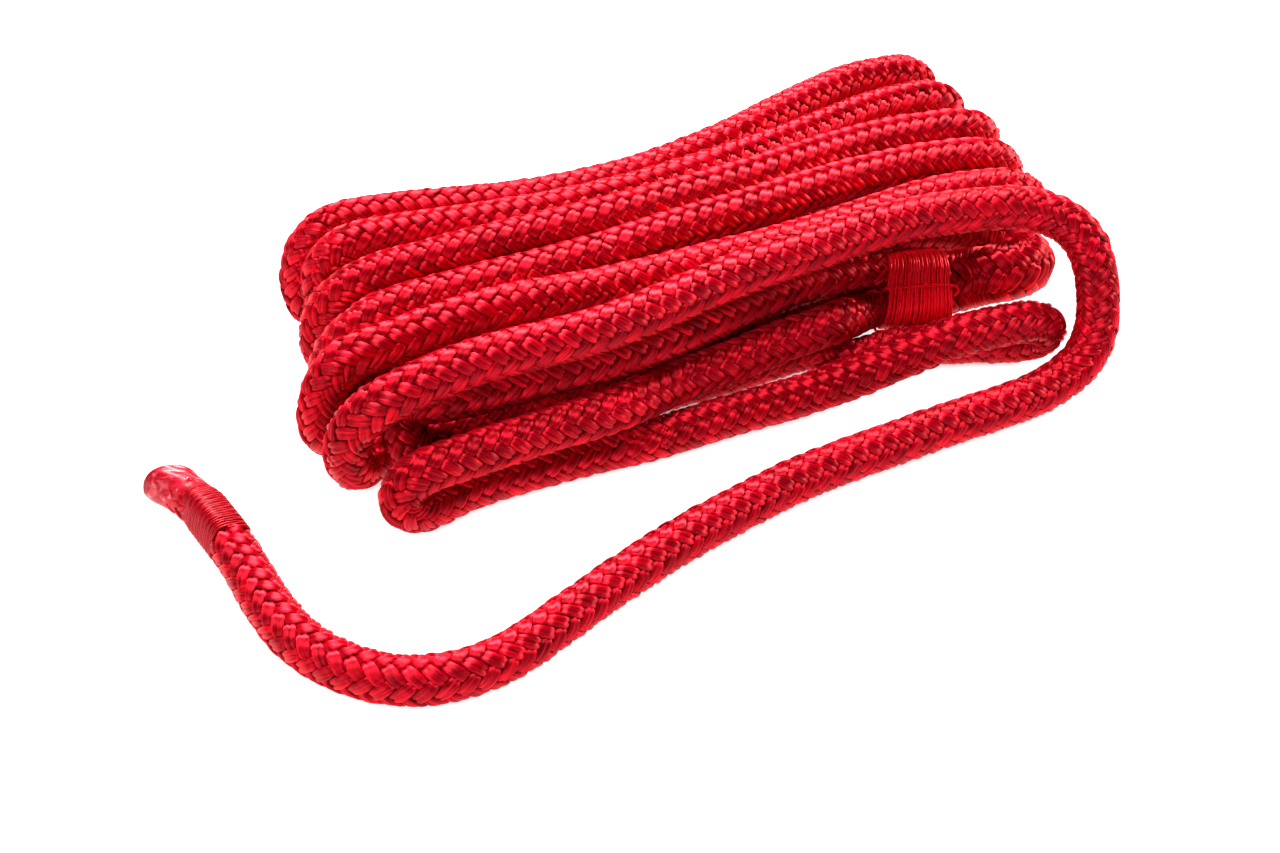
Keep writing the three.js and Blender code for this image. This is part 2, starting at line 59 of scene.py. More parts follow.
# ------------------------------------------------------------------ routes of the line
# x, y, z of the centreline and the line's radius there, in millimetres
MAIN = [
    (80.59, -9.85, 16.20, 8.60), (89.27, -11.74, 15.68, 8.60), (95.15, -12.64, 15.43, 8.60),
    (98.84, -14.08, 16.19, 8.60), (102.89, -16.42, 17.38, 8.60), (106.05, -17.51, 17.65, 8.60),
    (108.91, -17.59, 17.49, 8.60), (111.62, -16.74, 17.04, 8.60), (114.08, -15.02, 16.26, 8.60),
    (115.84, -12.74, 15.32, 8.59), (116.70, -10.24, 14.51, 8.59), (116.69, -7.74, 14.06, 8.58),
    (115.91, -5.16, 14.10, 8.57), (114.30, -2.47, 14.90, 8.55), (111.39, 0.56, 16.85, 8.51),
    (107.05, 3.54, 19.24, 8.42), (102.55, 6.12, 20.40, 8.29), (97.42, 8.81, 20.19, 8.12),
    (90.75, 11.88, 19.36, 7.86), (83.16, 15.13, 19.75, 7.56), (76.54, 18.04, 19.41, 7.31),
    (69.59, 20.77, 17.70, 7.05), (62.49, 22.72, 15.70, 6.79), (55.99, 23.68, 14.93, 6.56),
    (48.88, 24.42, 15.31, 6.36), (42.19, 25.85, 16.65, 6.23), (35.62, 28.42, 18.00, 6.16),
    (29.37, 31.57, 18.28, 6.12), (22.49, 34.91, 17.32, 6.11), (15.91, 37.15, 16.33, 6.10),
    (9.80, 38.58, 16.49, 6.10), (3.47, 40.70, 17.68, 6.10), (-2.28, 43.68, 18.47, 6.10), (-8.25, 47.20, 17.95, 6.10),
    (-14.78, 50.78, 16.96, 6.10), (-20.21, 54.03, 17.44, 6.10), (-25.50, 58.01, 18.30, 6.10),
    (-29.40, 61.37, 17.87, 6.10), (-33.26, 64.58, 16.12, 6.10), (-37.63, 67.57, 12.92, 6.10),
    (-42.45, 69.71, 9.15, 6.10), (-46.53, 70.76, 7.02, 6.10), (-50.85, 71.32, 6.18, 6.10),
    (-56.54, 71.31, 6.26, 6.10), (-62.66, 70.19, 6.51, 6.10), (-67.74, 68.99, 6.31, 6.10),
    (-70.41, 68.85, 6.73, 6.10), (-72.22, 69.13, 7.63, 6.10), (-73.46, 69.76, 9.11, 6.10),
    (-74.22, 70.70, 11.35, 6.10), (-74.24, 71.95, 14.86, 6.10), (-73.15, 73.29, 19.63, 6.10),
    (-71.19, 74.24, 23.58, 6.10), (-68.51, 74.71, 26.51, 6.10), (-64.90, 74.81, 28.74, 6.10),
    (-60.38, 74.47, 30.17, 6.10), (-54.07, 73.06, 30.81, 6.10), (-44.65, 70.04, 31.44, 6.10),
    (-34.52, 65.96, 31.96, 6.10), (-24.11, 61.71, 32.47, 6.10), (-15.15, 58.76, 32.66, 6.10),
    (-5.72, 56.72, 32.65, 6.10), (4.70, 55.26, 32.59, 6.10), (15.41, 54.45, 32.62, 6.10),
    (26.34, 54.16, 32.74, 6.10), (37.02, 54.32, 33.25, 6.10), (47.94, 55.10, 34.00, 6.10),
    (58.24, 56.29, 34.82, 6.10), (67.04, 58.18, 35.17, 6.10), (77.74, 61.21, 34.98, 6.10),
    (88.98, 64.42, 34.64, 6.10), (98.57, 66.58, 34.39, 6.10), (106.66, 67.46, 34.20, 6.10),
    (115.58, 67.03, 33.79, 6.10), (122.08, 66.41, 33.25, 6.10), (125.44, 65.83, 32.07, 6.10),
    (127.70, 65.40, 30.26, 6.10), (129.26, 65.16, 27.79, 6.10), (130.10, 65.13, 24.20, 6.10),
    (130.05, 65.37, 18.81, 6.10), (128.89, 65.88, 13.31, 6.10), (127.20, 66.43, 9.68, 6.10),
    (125.31, 66.93, 7.61, 6.10), (122.89, 67.47, 6.47, 6.10), (118.63, 68.16, 6.08, 6.10),
    (109.81, 68.81, 6.07, 6.10), (99.72, 68.64, 6.07, 6.10), (88.89, 67.73, 6.07, 6.10), (77.36, 66.27, 6.07, 6.10),
    (65.21, 64.54, 6.07, 6.10), (53.32, 62.94, 6.07, 6.10), (41.64, 61.63, 6.07, 6.10), (30.04, 60.64, 6.07, 6.10),
    (18.58, 60.02, 6.07, 6.10), (7.29, 59.83, 6.07, 6.10), (-4.42, 60.06, 6.07, 6.10), (-15.12, 60.16, 6.07, 6.10),
    (-23.76, 59.35, 6.07, 6.10), (-33.00, 57.73, 6.07, 6.10), (-41.90, 57.34, 6.07, 6.10),
    (-52.94, 57.22, 6.07, 6.10), (-62.05, 56.63, 6.12, 6.10), (-65.61, 56.34, 6.65, 6.10),
    (-67.75, 56.31, 7.86, 6.10), (-69.37, 56.68, 9.79, 6.10), (-70.67, 57.71, 12.83, 6.10),
    (-71.39, 59.43, 17.44, 6.10), (-71.04, 60.88, 21.86, 6.10), (-69.89, 61.68, 25.01, 6.10),
    (-67.88, 62.06, 27.46, 6.10), (-64.70, 62.11, 29.60, 6.10), (-60.50, 61.67, 31.16, 6.10),
    (-54.67, 60.14, 31.92, 6.10), (-45.29, 56.82, 32.90, 6.10), (-34.73, 52.57, 34.18, 6.10),
    (-24.92, 48.94, 35.12, 6.10), (-15.59, 46.22, 35.63, 6.10), (-5.92, 44.37, 35.83, 6.10),
    (4.68, 43.06, 35.89, 6.10), (15.60, 42.38, 35.87, 6.10), (26.99, 42.09, 36.00, 6.10),
    (38.20, 42.16, 36.25, 6.10), (49.02, 42.76, 36.25, 6.10), (59.96, 43.82, 35.93, 6.10),
    (71.34, 45.29, 35.58, 6.10), (82.90, 46.91, 35.45, 6.10), (94.46, 48.67, 35.22, 6.10),
    (103.76, 49.54, 35.01, 6.10), (113.70, 49.37, 34.61, 6.10), (120.36, 48.91, 33.96, 6.10),
    (124.23, 48.48, 32.63, 6.10), (126.75, 48.42, 30.83, 6.10), (128.41, 48.68, 28.49, 6.10),
    (129.34, 49.12, 25.29, 6.10), (129.34, 49.71, 20.32, 6.10), (128.16, 50.40, 14.52, 6.10),
    (126.32, 50.99, 10.36, 6.10), (124.30, 51.46, 7.97, 6.10), (121.87, 51.90, 6.64, 6.10),
    (118.02, 52.38, 6.11, 6.10), (109.36, 52.85, 6.07, 6.10), (99.03, 52.58, 6.07, 6.10), (88.11, 51.63, 6.07, 6.10),
    (76.56, 50.16, 6.07, 6.10), (64.42, 48.41, 6.07, 6.10), (52.63, 46.82, 6.07, 6.10), (41.43, 45.66, 6.07, 6.10),
    (30.74, 45.10, 6.07, 6.10), (19.85, 45.21, 6.07, 6.10), (9.30, 45.45, 6.07, 6.10), (0.24, 44.64, 6.07, 6.10),
    (-9.50, 43.44, 6.07, 6.10), (-18.57, 43.45, 6.07, 6.10), (-30.02, 44.23, 6.07, 6.10),
    (-41.01, 44.67, 6.07, 6.10), (-51.84, 44.53, 6.07, 6.10), (-63.03, 43.87, 6.07, 6.10),
    (-70.03, 43.90, 6.11, 6.10), (-73.30, 44.44, 6.53, 6.10), (-75.29, 44.99, 7.55, 6.10),
    (-76.63, 45.54, 9.21, 6.10), (-77.41, 46.04, 11.59, 6.10), (-77.42, 46.46, 15.01, 6.10),
    (-76.32, 46.66, 19.48, 6.10), (-74.27, 46.45, 23.54, 6.10), (-71.24, 45.83, 26.83, 6.10),
    (-66.60, 44.99, 29.86, 6.10), (-60.98, 43.94, 32.02, 6.10), (-52.12, 41.59, 33.88, 6.10),
    (-41.08, 38.36, 36.01, 6.10), (-31.87, 36.02, 37.41, 6.10), (-22.19, 34.41, 38.08, 6.10),
    (-10.49, 32.70, 38.59, 6.10), (0.82, 31.26, 39.06, 6.10), (11.36, 30.42, 39.24, 6.10),
    (22.95, 29.98, 39.22, 6.10), (34.41, 29.83, 39.07, 6.10), (45.33, 30.16, 38.76, 6.10),
    (56.39, 30.99, 38.24, 6.10), (67.93, 32.32, 37.52, 6.10), (78.71, 33.38, 36.84, 6.10),
    (88.69, 33.60, 36.36, 6.10), (98.63, 33.03, 36.07, 6.10), (107.96, 31.58, 35.78, 6.10),
    (117.20, 29.70, 35.35, 6.10), (121.84, 28.68, 34.42, 6.10), (124.64, 28.25, 32.98, 6.10),
    (126.60, 28.41, 31.12, 6.10), (127.92, 29.06, 28.64, 6.10), (128.55, 30.04, 24.97, 6.10),
    (128.13, 31.34, 19.21, 6.10), (126.58, 32.73, 13.37, 6.10), (124.63, 33.85, 9.64, 6.10),
    (122.53, 34.70, 7.55, 6.10), (119.90, 35.41, 6.44, 6.10), (115.51, 36.07, 6.08, 6.10),
    (108.04, 36.14, 6.07, 6.10), (97.56, 34.98, 6.07, 6.10), (85.73, 33.54, 6.07, 6.10), (75.08, 32.64, 6.07, 6.10),
    (65.41, 32.63, 6.07, 6.10), (55.23, 33.21, 6.07, 6.10), (46.07, 32.80, 6.07, 6.10), (36.02, 31.39, 6.07, 6.10),
    (26.59, 29.91, 6.07, 6.10), (18.18, 29.82, 6.07, 6.10), (7.03, 30.56, 6.07, 6.10), (-3.76, 30.83, 6.07, 6.10),
    (-15.41, 30.59, 6.07, 6.10), (-26.86, 30.44, 6.07, 6.10), (-38.14, 30.78, 6.07, 6.10),
    (-49.91, 31.40, 6.07, 6.10), (-60.10, 31.42, 6.07, 6.10), (-70.64, 31.12, 6.07, 6.10),
    (-75.70, 30.79, 6.33, 6.10), (-78.16, 30.40, 7.19, 6.10), (-79.80, 30.04, 8.64, 6.10),
    (-80.84, 29.75, 10.73, 6.10), (-81.20, 29.51, 13.61, 6.10), (-80.52, 29.29, 17.66, 6.10),
    (-78.55, 28.98, 22.35, 6.10), (-75.77, 28.46, 26.03, 6.10), (-71.61, 27.82, 29.22, 6.10),
    (-66.22, 27.45, 31.88, 6.10), (-60.57, 26.81, 33.18, 6.10), (-50.44, 25.18, 34.34, 6.10),
    (-39.37, 23.05, 35.53, 6.10), (-28.63, 21.19, 36.34, 6.10), (-17.41, 19.58, 36.98, 6.10),
    (-6.99, 18.72, 37.45, 6.10), (4.75, 18.20, 37.98, 6.10), (16.28, 17.68, 38.49, 6.10),
    (27.72, 17.39, 38.63, 6.10), (38.87, 17.36, 38.47, 6.10), (49.87, 17.84, 38.04, 6.10),
    (61.42, 18.63, 37.49, 6.10), (71.80, 18.86, 37.14, 6.10), (82.55, 18.38, 36.88, 6.10),
    (92.95, 17.32, 36.74, 6.10), (102.42, 15.58, 36.64, 6.10), (111.54, 13.32, 36.26, 6.10),
    (116.54, 12.20, 35.25, 6.10), (119.95, 11.78, 33.61, 6.10), (122.41, 12.06, 31.56, 6.10),
    (124.23, 12.90, 28.81, 6.10), (125.43, 14.29, 24.57, 6.10), (125.84, 16.50, 18.23, 6.10),
    (125.19, 18.84, 12.51, 6.10), (124.02, 20.42, 9.24, 6.10), (122.51, 21.45, 7.41, 6.10),
    (120.41, 22.26, 6.41, 6.10), (116.91, 23.11, 6.08, 6.10), (110.86, 23.60, 6.07, 6.10),
    (103.53, 22.78, 6.07, 6.10), (93.18, 20.37, 6.07, 6.10), (82.43, 17.44, 6.07, 6.10), (73.09, 14.79, 6.07, 6.10),
    (65.39, 13.76, 6.07, 6.10), (57.21, 13.95, 6.07, 6.10), (47.06, 15.34, 6.07, 6.10), (36.95, 16.37, 6.07, 6.10),
    (25.40, 16.83, 6.07, 6.10), (13.93, 17.47, 6.07, 6.10), (2.78, 18.12, 6.07, 6.10), (-8.23, 18.14, 6.07, 6.10),
    (-20.06, 17.83, 6.07, 6.10), (-31.24, 17.89, 6.07, 6.10), (-42.95, 18.40, 6.07, 6.10),
    (-54.27, 18.88, 6.07, 6.10), (-65.18, 18.67, 6.07, 6.10), (-74.32, 18.22, 6.07, 6.10),
    (-81.12, 16.77, 6.12, 6.10), (-84.58, 15.83, 6.64, 6.10), (-86.56, 15.37, 7.72, 6.10),
    (-87.89, 15.15, 9.39, 6.10), (-88.64, 15.17, 11.71, 6.10), (-88.66, 15.45, 15.05, 6.10),
    (-87.44, 16.03, 19.76, 6.10), (-85.16, 16.51, 24.26, 6.10), (-82.22, 16.62, 27.56, 6.10),
    (-78.62, 16.40, 29.90, 6.10), (-73.73, 15.67, 31.43, 6.10), (-64.80, 14.57, 32.83, 6.10),
    (-54.52, 13.17, 34.67, 6.10), (-44.88, 11.38, 36.27, 6.10), (-35.71, 9.72, 36.86, 6.10),
    (-25.38, 8.08, 36.58, 6.10), (-14.07, 6.49, 36.08, 6.10), (-2.78, 5.05, 35.97, 6.10), (8.83, 3.90, 35.98, 6.10),
    (20.39, 3.02, 35.86, 6.10), (32.26, 2.32, 35.60, 6.10), (43.27, 1.83, 35.44, 6.10), (54.35, 1.96, 35.17, 6.10),
    (66.04, 2.44, 35.03, 6.10), (77.86, 3.05, 34.88, 6.10), (87.95, 3.08, 34.79, 6.10), (97.07, 2.20, 34.75, 6.10),
    (106.41, 0.37, 34.46, 6.10), (113.14, -0.78, 33.60, 6.10), (117.49, -1.13, 32.06, 6.10),
    (120.84, -0.70, 29.89, 6.10), (123.83, 0.45, 26.66, 6.10), (126.29, 2.07, 22.18, 6.10),
    (127.50, 3.58, 17.64, 6.10), (127.44, 4.81, 13.64, 6.10), (126.43, 5.85, 10.49, 6.10),
    (124.78, 6.82, 8.27, 6.10), (122.50, 7.91, 6.85, 6.10), (119.04, 9.32, 6.17, 6.10), (113.98, 10.67, 6.07, 6.10),
    (108.83, 10.75, 6.07, 6.10), (102.29, 9.28, 6.07, 6.10), (92.49, 5.90, 6.07, 6.10), (83.30, 3.33, 6.07, 6.10),
    (73.87, 1.73, 6.07, 6.10), (64.58, 1.05, 6.07, 6.10), (55.69, 1.48, 6.07, 6.10), (45.19, 2.96, 6.07, 6.10),
    (35.29, 3.87, 6.07, 6.10), (23.60, 4.34, 6.07, 6.10), (12.01, 5.09, 6.07, 6.10), (1.19, 5.57, 6.07, 6.10),
    (-10.10, 5.45, 6.07, 6.10), (-21.86, 5.16, 6.07, 6.10), (-33.05, 5.31, 6.07, 6.10), (-44.95, 5.87, 6.07, 6.10),
    (-56.12, 6.26, 6.07, 6.10), (-67.15, 6.06, 6.07, 6.10), (-74.20, 5.34, 6.07, 6.10), (-79.34, 3.53, 6.09, 6.10),
    (-82.68, 1.72, 6.49, 6.10), (-84.67, 0.47, 7.58, 6.10), (-86.11, -0.54, 9.49, 6.10),
    (-87.18, -1.50, 12.67, 6.10), (-87.57, -2.45, 17.30, 6.10), (-86.85, -3.30, 21.81, 6.10),
    (-85.04, -4.15, 25.60, 6.10), (-82.01, -5.03, 29.02, 6.10), (-77.77, -5.89, 31.85, 6.10),
    (-71.63, -6.79, 34.17, 6.10), (-63.17, -7.32, 36.12, 6.10), (-53.31, -8.04, 37.53, 6.10),
    (-43.36, -9.31, 38.26, 6.10), (-32.35, -10.89, 38.52, 6.10), (-22.14, -11.80, 38.66, 6.10),
    (-12.21, -11.87, 38.88, 6.10), (-1.60, -11.08, 39.16, 6.10), (10.24, -9.88, 39.48, 6.10),
    (20.82, -9.19, 39.90, 6.10), (31.38, -9.26, 40.44, 6.10), (42.52, -9.54, 40.90, 6.10),
    (53.54, -9.26, 41.07, 6.10), (64.85, -9.05, 41.00, 6.10), (74.45, -9.49, 40.84, 6.10),
    (83.86, -10.94, 40.60, 6.10), (93.51, -13.33, 40.36, 6.10), (102.29, -16.26, 40.28, 6.10),
    (107.98, -19.09, 39.93, 6.10), (112.77, -22.69, 38.77, 6.10), (116.39, -26.46, 37.01, 6.10),
    (118.52, -29.82, 34.81, 6.10), (119.56, -33.23, 31.91, 6.10), (119.55, -37.21, 27.77, 6.10),
    (118.24, -41.87, 22.24, 6.10), (115.92, -46.02, 17.10, 6.10), (113.01, -48.99, 13.29, 6.10),
    (109.47, -51.00, 10.40, 6.09), (105.04, -52.33, 8.17, 6.09), (99.17, -53.28, 6.66, 6.08),
    (91.28, -54.27, 6.07, 6.07), (82.43, -54.58, 6.03, 6.05), (70.60, -54.16, 6.01, 6.03),
    (58.64, -53.74, 6.02, 6.01), (46.76, -53.61, 5.99, 6.01), (34.69, -53.50, 6.01, 6.01),
    (23.32, -53.65, 6.03, 6.01), (12.85, -54.33, 6.04, 5.99), (1.90, -55.78, 6.00, 5.97),
    (-9.84, -57.57, 6.02, 5.94), (-20.72, -59.61, 6.02, 5.91), (-31.70, -62.21, 6.01, 5.86),
    (-42.92, -65.23, 6.02, 5.81), (-54.11, -68.65, 6.01, 5.80), (-65.46, -72.21, 5.99, 5.84),
    (-74.18, -74.41, 5.92, 5.90), (-81.38, -75.05, 5.94, 5.96), (-88.67, -74.39, 6.01, 6.02),
    (-95.21, -72.64, 6.06, 6.06), (-100.68, -69.83, 6.08, 6.09), (-106.01, -65.51, 6.09, 6.10),
    (-110.86, -59.94, 6.08, 6.11), (-114.79, -53.51, 6.08, 6.11), (-117.60, -46.54, 6.07, 6.11),
    (-119.37, -38.55, 6.08, 6.11), (-120.54, -28.24, 6.08, 6.09), (-121.30, -16.85, 6.08, 6.01),
    (-122.37, -6.83, 6.08, 5.80), (-124.26, 2.82, 6.05, 5.54), (-126.95, 11.80, 6.04, 5.38),
    (-130.87, 21.41, 6.00, 5.31),
]
EYE = [
    (76.10, -10.88, 14.20, 6.00), (70.89, -9.82, 12.95, 6.00), (66.05, -9.67, 12.73, 6.00),
    (61.25, -10.42, 13.41, 6.00), (55.48, -12.45, 15.42, 6.00), (50.02, -14.41, 17.20, 6.00),
    (45.78, -15.08, 17.60, 6.00), (39.58, -14.72, 17.11, 6.00), (30.35, -14.59, 16.74, 6.00),
    (19.12, -14.95, 16.10, 6.00), (8.54, -14.91, 15.65, 6.00), (0.74, -15.18, 15.47, 6.00),
    (-5.79, -16.64, 15.99, 6.00), (-14.12, -19.11, 17.28, 6.00), (-20.91, -20.13, 17.78, 6.00),
    (-29.61, -20.00, 17.89, 6.00), (-40.77, -19.40, 17.87, 6.00), (-51.52, -19.35, 18.03, 6.00),
    (-63.37, -19.56, 18.31, 6.00), (-71.08, -19.59, 18.17, 5.99), (-75.02, -19.48, 17.21, 5.98),
    (-77.57, -19.40, 15.66, 5.96), (-79.15, -19.50, 13.89, 5.95), (-79.87, -19.73, 12.15, 5.94),
    (-79.88, -20.06, 10.46, 5.93), (-79.27, -20.35, 8.93, 5.91), (-77.95, -20.51, 7.64, 5.90),
    (-75.76, -20.43, 6.59, 5.88), (-71.97, -19.87, 5.94, 5.86), (-64.76, -18.80, 6.05, 5.82),
    (-56.10, -18.40, 6.09, 5.81), (-45.73, -18.78, 5.79, 5.80), (-34.94, -19.54, 5.77, 5.80),
    (-23.96, -20.98, 5.77, 5.80), (-12.53, -22.65, 5.78, 5.80), (-2.14, -23.58, 5.92, 5.80),
    (9.45, -24.13, 6.02, 5.80), (20.24, -24.90, 6.06, 5.82), (30.04, -26.11, 6.44, 5.86),
    (38.41, -27.51, 7.61, 5.92), (47.41, -29.62, 9.99, 5.97), (56.87, -31.56, 12.67, 5.99),
    (67.42, -33.08, 15.32, 6.00), (76.77, -34.64, 17.11, 6.00), (85.95, -36.47, 17.94, 6.00),
    (94.05, -37.86, 17.88, 5.99), (99.08, -38.47, 16.97, 5.98), (102.13, -38.72, 15.52, 5.96),
    (103.88, -38.81, 14.00, 5.95), (104.72, -38.65, 12.51, 5.94), (104.89, -38.22, 10.95, 5.92),
    (104.45, -37.50, 9.42, 5.91), (103.26, -36.39, 8.01, 5.89), (101.00, -34.74, 6.68, 5.87),
    (97.26, -32.59, 5.90, 5.85), (89.42, -28.80, 5.91, 5.81), (79.95, -24.81, 5.99, 5.81),
    (71.71, -21.88, 6.48, 5.83), (65.46, -20.62, 6.79, 5.86), (58.29, -20.17, 6.27, 5.90),
    (54.09, -19.29, 6.03, 5.92), (51.52, -17.80, 6.00, 5.94), (49.52, -15.32, 6.08, 5.96),
    (47.91, -12.31, 6.30, 5.97), (46.07, -10.51, 6.36, 5.98), (43.49, -9.47, 6.26, 5.99), (37.83, -8.93, 6.01, 6.00),
    (26.90, -8.50, 5.97, 6.00), (15.16, -7.73, 5.97, 6.00), (4.10, -7.04, 6.02, 6.00), (-6.46, -6.99, 6.20, 6.00),
    (-17.22, -7.30, 5.98, 6.00), (-28.21, -7.38, 5.97, 6.00), (-39.53, -6.96, 5.97, 6.00),
    (-51.15, -6.29, 5.97, 6.00), (-60.91, -6.30, 5.97, 6.00), (-65.76, -6.50, 6.25, 6.00),
    (-68.12, -6.49, 7.19, 6.00), (-69.82, -6.16, 8.79, 6.00), (-71.10, -5.31, 11.13, 6.00),
    (-71.91, -3.54, 14.48, 6.00), (-71.88, -1.46, 18.14, 6.00), (-71.25, -0.38, 20.48, 6.00),
    (-70.22, 0.02, 22.13, 6.00), (-68.84, -0.10, 23.25, 6.00), (-66.66, -0.90, 23.93, 6.00),
    (-61.42, -3.14, 24.48, 6.00), (-53.58, -5.43, 25.24, 6.00), (-44.02, -7.17, 25.88, 6.00),
    (-33.15, -8.55, 26.18, 6.00), (-22.73, -9.48, 26.20, 6.00), (-12.47, -9.61, 26.12, 6.00),
    (-2.05, -9.08, 26.09, 6.00), (8.21, -7.85, 25.96, 6.00), (19.71, -6.07, 25.48, 6.00),
    (30.92, -4.31, 24.77, 6.00), (41.25, -2.59, 23.87, 6.00), (49.83, -2.06, 23.30, 6.00),
    (59.53, -2.43, 22.37, 6.00), (68.53, -2.82, 21.04, 6.00), (73.32, -3.87, 20.14, 6.00),
    (78.44, -6.53, 18.60, 6.00),
]



# ------------------------------------------------------------------ curves and frames
def spline_second(t, y):
    """Second derivatives of the natural cubic spline through y at t."""
    n = len(t)
    h = np.diff(t)
    a = np.zeros((n, n))
    b = np.zeros((n, y.shape[1]))
    a[0, 0] = a[-1, -1] = 1
    for i in range(1, n - 1):
        a[i, i - 1], a[i, i], a[i, i + 1] = h[i - 1], 2 * (h[i - 1] + h[i]), h[i]
        b[i] = 6 * ((y[i + 1] - y[i]) / h[i] - (y[i] - y[i - 1]) / h[i - 1])
    return np.linalg.solve(a, b)


def spline_at(t, y, m, x):
    i = np.clip(np.searchsorted(t, x) - 1, 0, len(t) - 2)
    h = (t[i + 1] - t[i])[:, None]
    u = (t[i + 1] - x)[:, None]
    v = (x - t[i])[:, None]
    return (m[i] * u**3 + m[i + 1] * v**3) / (6 * h) + (y[i] / h - m[i] * h / 6) * u + (y[i + 1] / h - m[i + 1] * h / 6) * v


class Line:
    """A smooth line through route points, by arc length s in millimetres, with turning-free frames."""

    def __init__(self, pts, step=0.25):
        p = np.array(pts, float)
        t = np.r_[0, np.cumsum(np.linalg.norm(np.diff(p[:, :3], axis=0), axis=1))]
        y = p[:, :3]
        m = spline_second(t, y)
        x = np.linspace(0, t[-1], int(t[-1] / 0.1) + 2)
        c = spline_at(t, y, m, x)
        s = np.r_[0, np.cumsum(np.linalg.norm(np.diff(c, axis=0), axis=1))]
        self.length = s[-1]
        n = int(math.ceil(self.length / step)) + 1
        self.s = np.linspace(0, self.length, n)
        xs = np.interp(self.s, s, x)
        self.c = spline_at(t, y, m, xs)
        self.r = np.interp(xs, t, p[:, 3])
        ds = self.s[1] - self.s[0]
        self.t = np.gradient(self.c, ds, axis=0)
        self.t /= np.linalg.norm(self.t, axis=1)[:, None]
        k = np.gradient(self.t, ds, axis=0)
        ker = np.hanning(13)
        ker /= ker.sum()
        pad = np.pad(k, ((6, 6), (0, 0)), mode="edge")
        self.k = np.stack([np.convolve(pad[:, a], ker, mode="valid") for a in range(3)], axis=1)
        nrm = np.zeros_like(self.c)
        v = np.array([0.0, 0.0, 1.0])
        v = v - v @ self.t[0] * self.t[0]
        nrm[0] = v / np.linalg.norm(v)
        for i in range(n - 1):
            v1 = self.c[i + 1] - self.c[i]
            c1 = v1 @ v1
            rl = nrm[i] - (2 / c1) * (v1 @ nrm[i]) * v1
            tl = self.t[i] - (2 / c1) * (v1 @ self.t[i]) * v1
            v2 = self.t[i + 1] - tl
            c2 = v2 @ v2
            q = rl - (2 / c2) * (v2 @ rl) * v2 if c2 > 1e-18 else rl
            q = q - q @ self.t[i + 1] * self.t[i + 1]
            nrm[i + 1] = q / np.linalg.norm(q)
        self.n = nrm
        self.b = np.cross(self.t, nrm)

    def at(self, s):
        """Centre, tangent, normal, binormal, curvature vector and radius at each s."""
        def f(a):
            return np.stack([np.interp(s, self.s, a[:, i]) for i in range(3)], axis=1)

        t, n = f(self.t), f(self.n)
        t /= np.linalg.norm(t, axis=1)[:, None]
        n -= (n * t).sum(1)[:, None] * t
        n /= np.linalg.norm(n, axis=1)[:, None]
        return f(self.c), t, n, np.cross(t, n), f(self.k), np.interp(s, self.s, self.r)


# ------------------------------------------------------------------ mesh helpers
def unit(v):
    return v / np.maximum(np.linalg.norm(v, axis=-1, keepdims=True), 1e-12)


def grid_tubes(rings, closed_ends=True):
    """rings: tubes x rings x points x 3. Returns vertices, quads and end caps of closed tubes."""
    nt, nr, npt, _ = rings.shape
    base = np.arange(nt)[:, None, None] * (nr * npt)
    i = np.arange(nr - 1)[None, :, None] * npt
    j = np.arange(npt)[None, None, :]
    a = base + i + j
    b = base + i + (j + 1) % npt
    quads = np.stack([a, b, b + npt, a + npt], axis=-1).reshape(-1, 4)
    caps = []
    if closed_ends:
        first = (np.arange(nt) * nr * npt)[:, None] + np.arange(npt)[None, ::-1]
        last = (np.arange(nt) * nr * npt + (nr - 1) * npt)[:, None] + np.arange(npt)[None, :]
        caps = np.concatenate([first, last])
    return rings.reshape(-1, 3), quads, caps


def make_object(name, verts_mm, quads, caps=(), uv=None, attrs=None, material=None, smooth_caps=False):
    me = bpy.data.meshes.new(name)
    nq, nc = len(quads), len(caps)
    width = caps.shape[1] if nc else 0
    loops = np.concatenate([quads.ravel(), caps.ravel()] if nc else [quads.ravel()]).astype(np.int32)
    me.vertices.add(len(verts_mm))
    me.vertices.foreach_set("co", (np.asarray(verts_mm) * MM).astype(np.float32).ravel())
    me.loops.add(len(loops))
    me.loops.foreach_set("vertex_index", loops)
    me.polygons.add(nq + nc)
    starts = np.concatenate([np.arange(nq) * 4, nq * 4 + np.arange(nc) * width]).astype(np.int32)
    me.polygons.foreach_set("loop_start", starts)
    smooth = np.ones(nq + nc, bool)
    if nc and not smooth_caps:
        smooth[nq:] = False
    me.update(calc_edges=True)
    me.polygons.foreach_set("use_smooth", smooth)
    if uv is not None:
        layer = me.uv_layers.new(name="fibre")
        layer.data.foreach_set("uv", uv[loops].astype(np.float32).ravel())
    for key, val in (attrs or {}).items():
        at = me.attributes.new(key, "FLOAT", "POINT")
        at.data.foreach_set("value", np.asarray(val, np.float32))
    me.validate()
    ob = bpy.data.objects.new(name, me)
    scene.collection.objects.link(ob)
    if material:
        me.materials.append(material)
    return ob


def hash01(a, seed=0.0):
    x = np.sin(np.asarray(a, float) * 12.9898 + seed * 78.233) * 43758.5453
    return x - np.floor(x)


# ------------------------------------------------------------------ braided cover
THICK, AMP, WIDE = 1.52, 0.68, 1.0
END_TILT = 20.0
CROWN = 0.22          # how much a float is arched along its length
DIVE = 0.35           # length of the dive between two strands, in crossings
PITCH = 4.75          # one pick along the line, at the nominal radius
STRANDS = 8           # strands of each hand
SECTION = np.array([  # strand section: across (-1..1), up (-1..1): two yarns side by side on top
    (1.00, -0.30), (0.93, 0.48), (0.62, 0.96), (0.28, 0.92), (0.0, 0.60), (-0.28, 0.92),
    (-0.62, 0.96), (-0.93, 0.48), (-1.00, -0.30), (-0.5, -0.95), (0.5, -0.95)])
SEC_U = np.array([0.02, 0.10, 0.22, 0.37, 0.5, 0.63, 0.78, 0.90, 0.98, 0.75, 0.25])
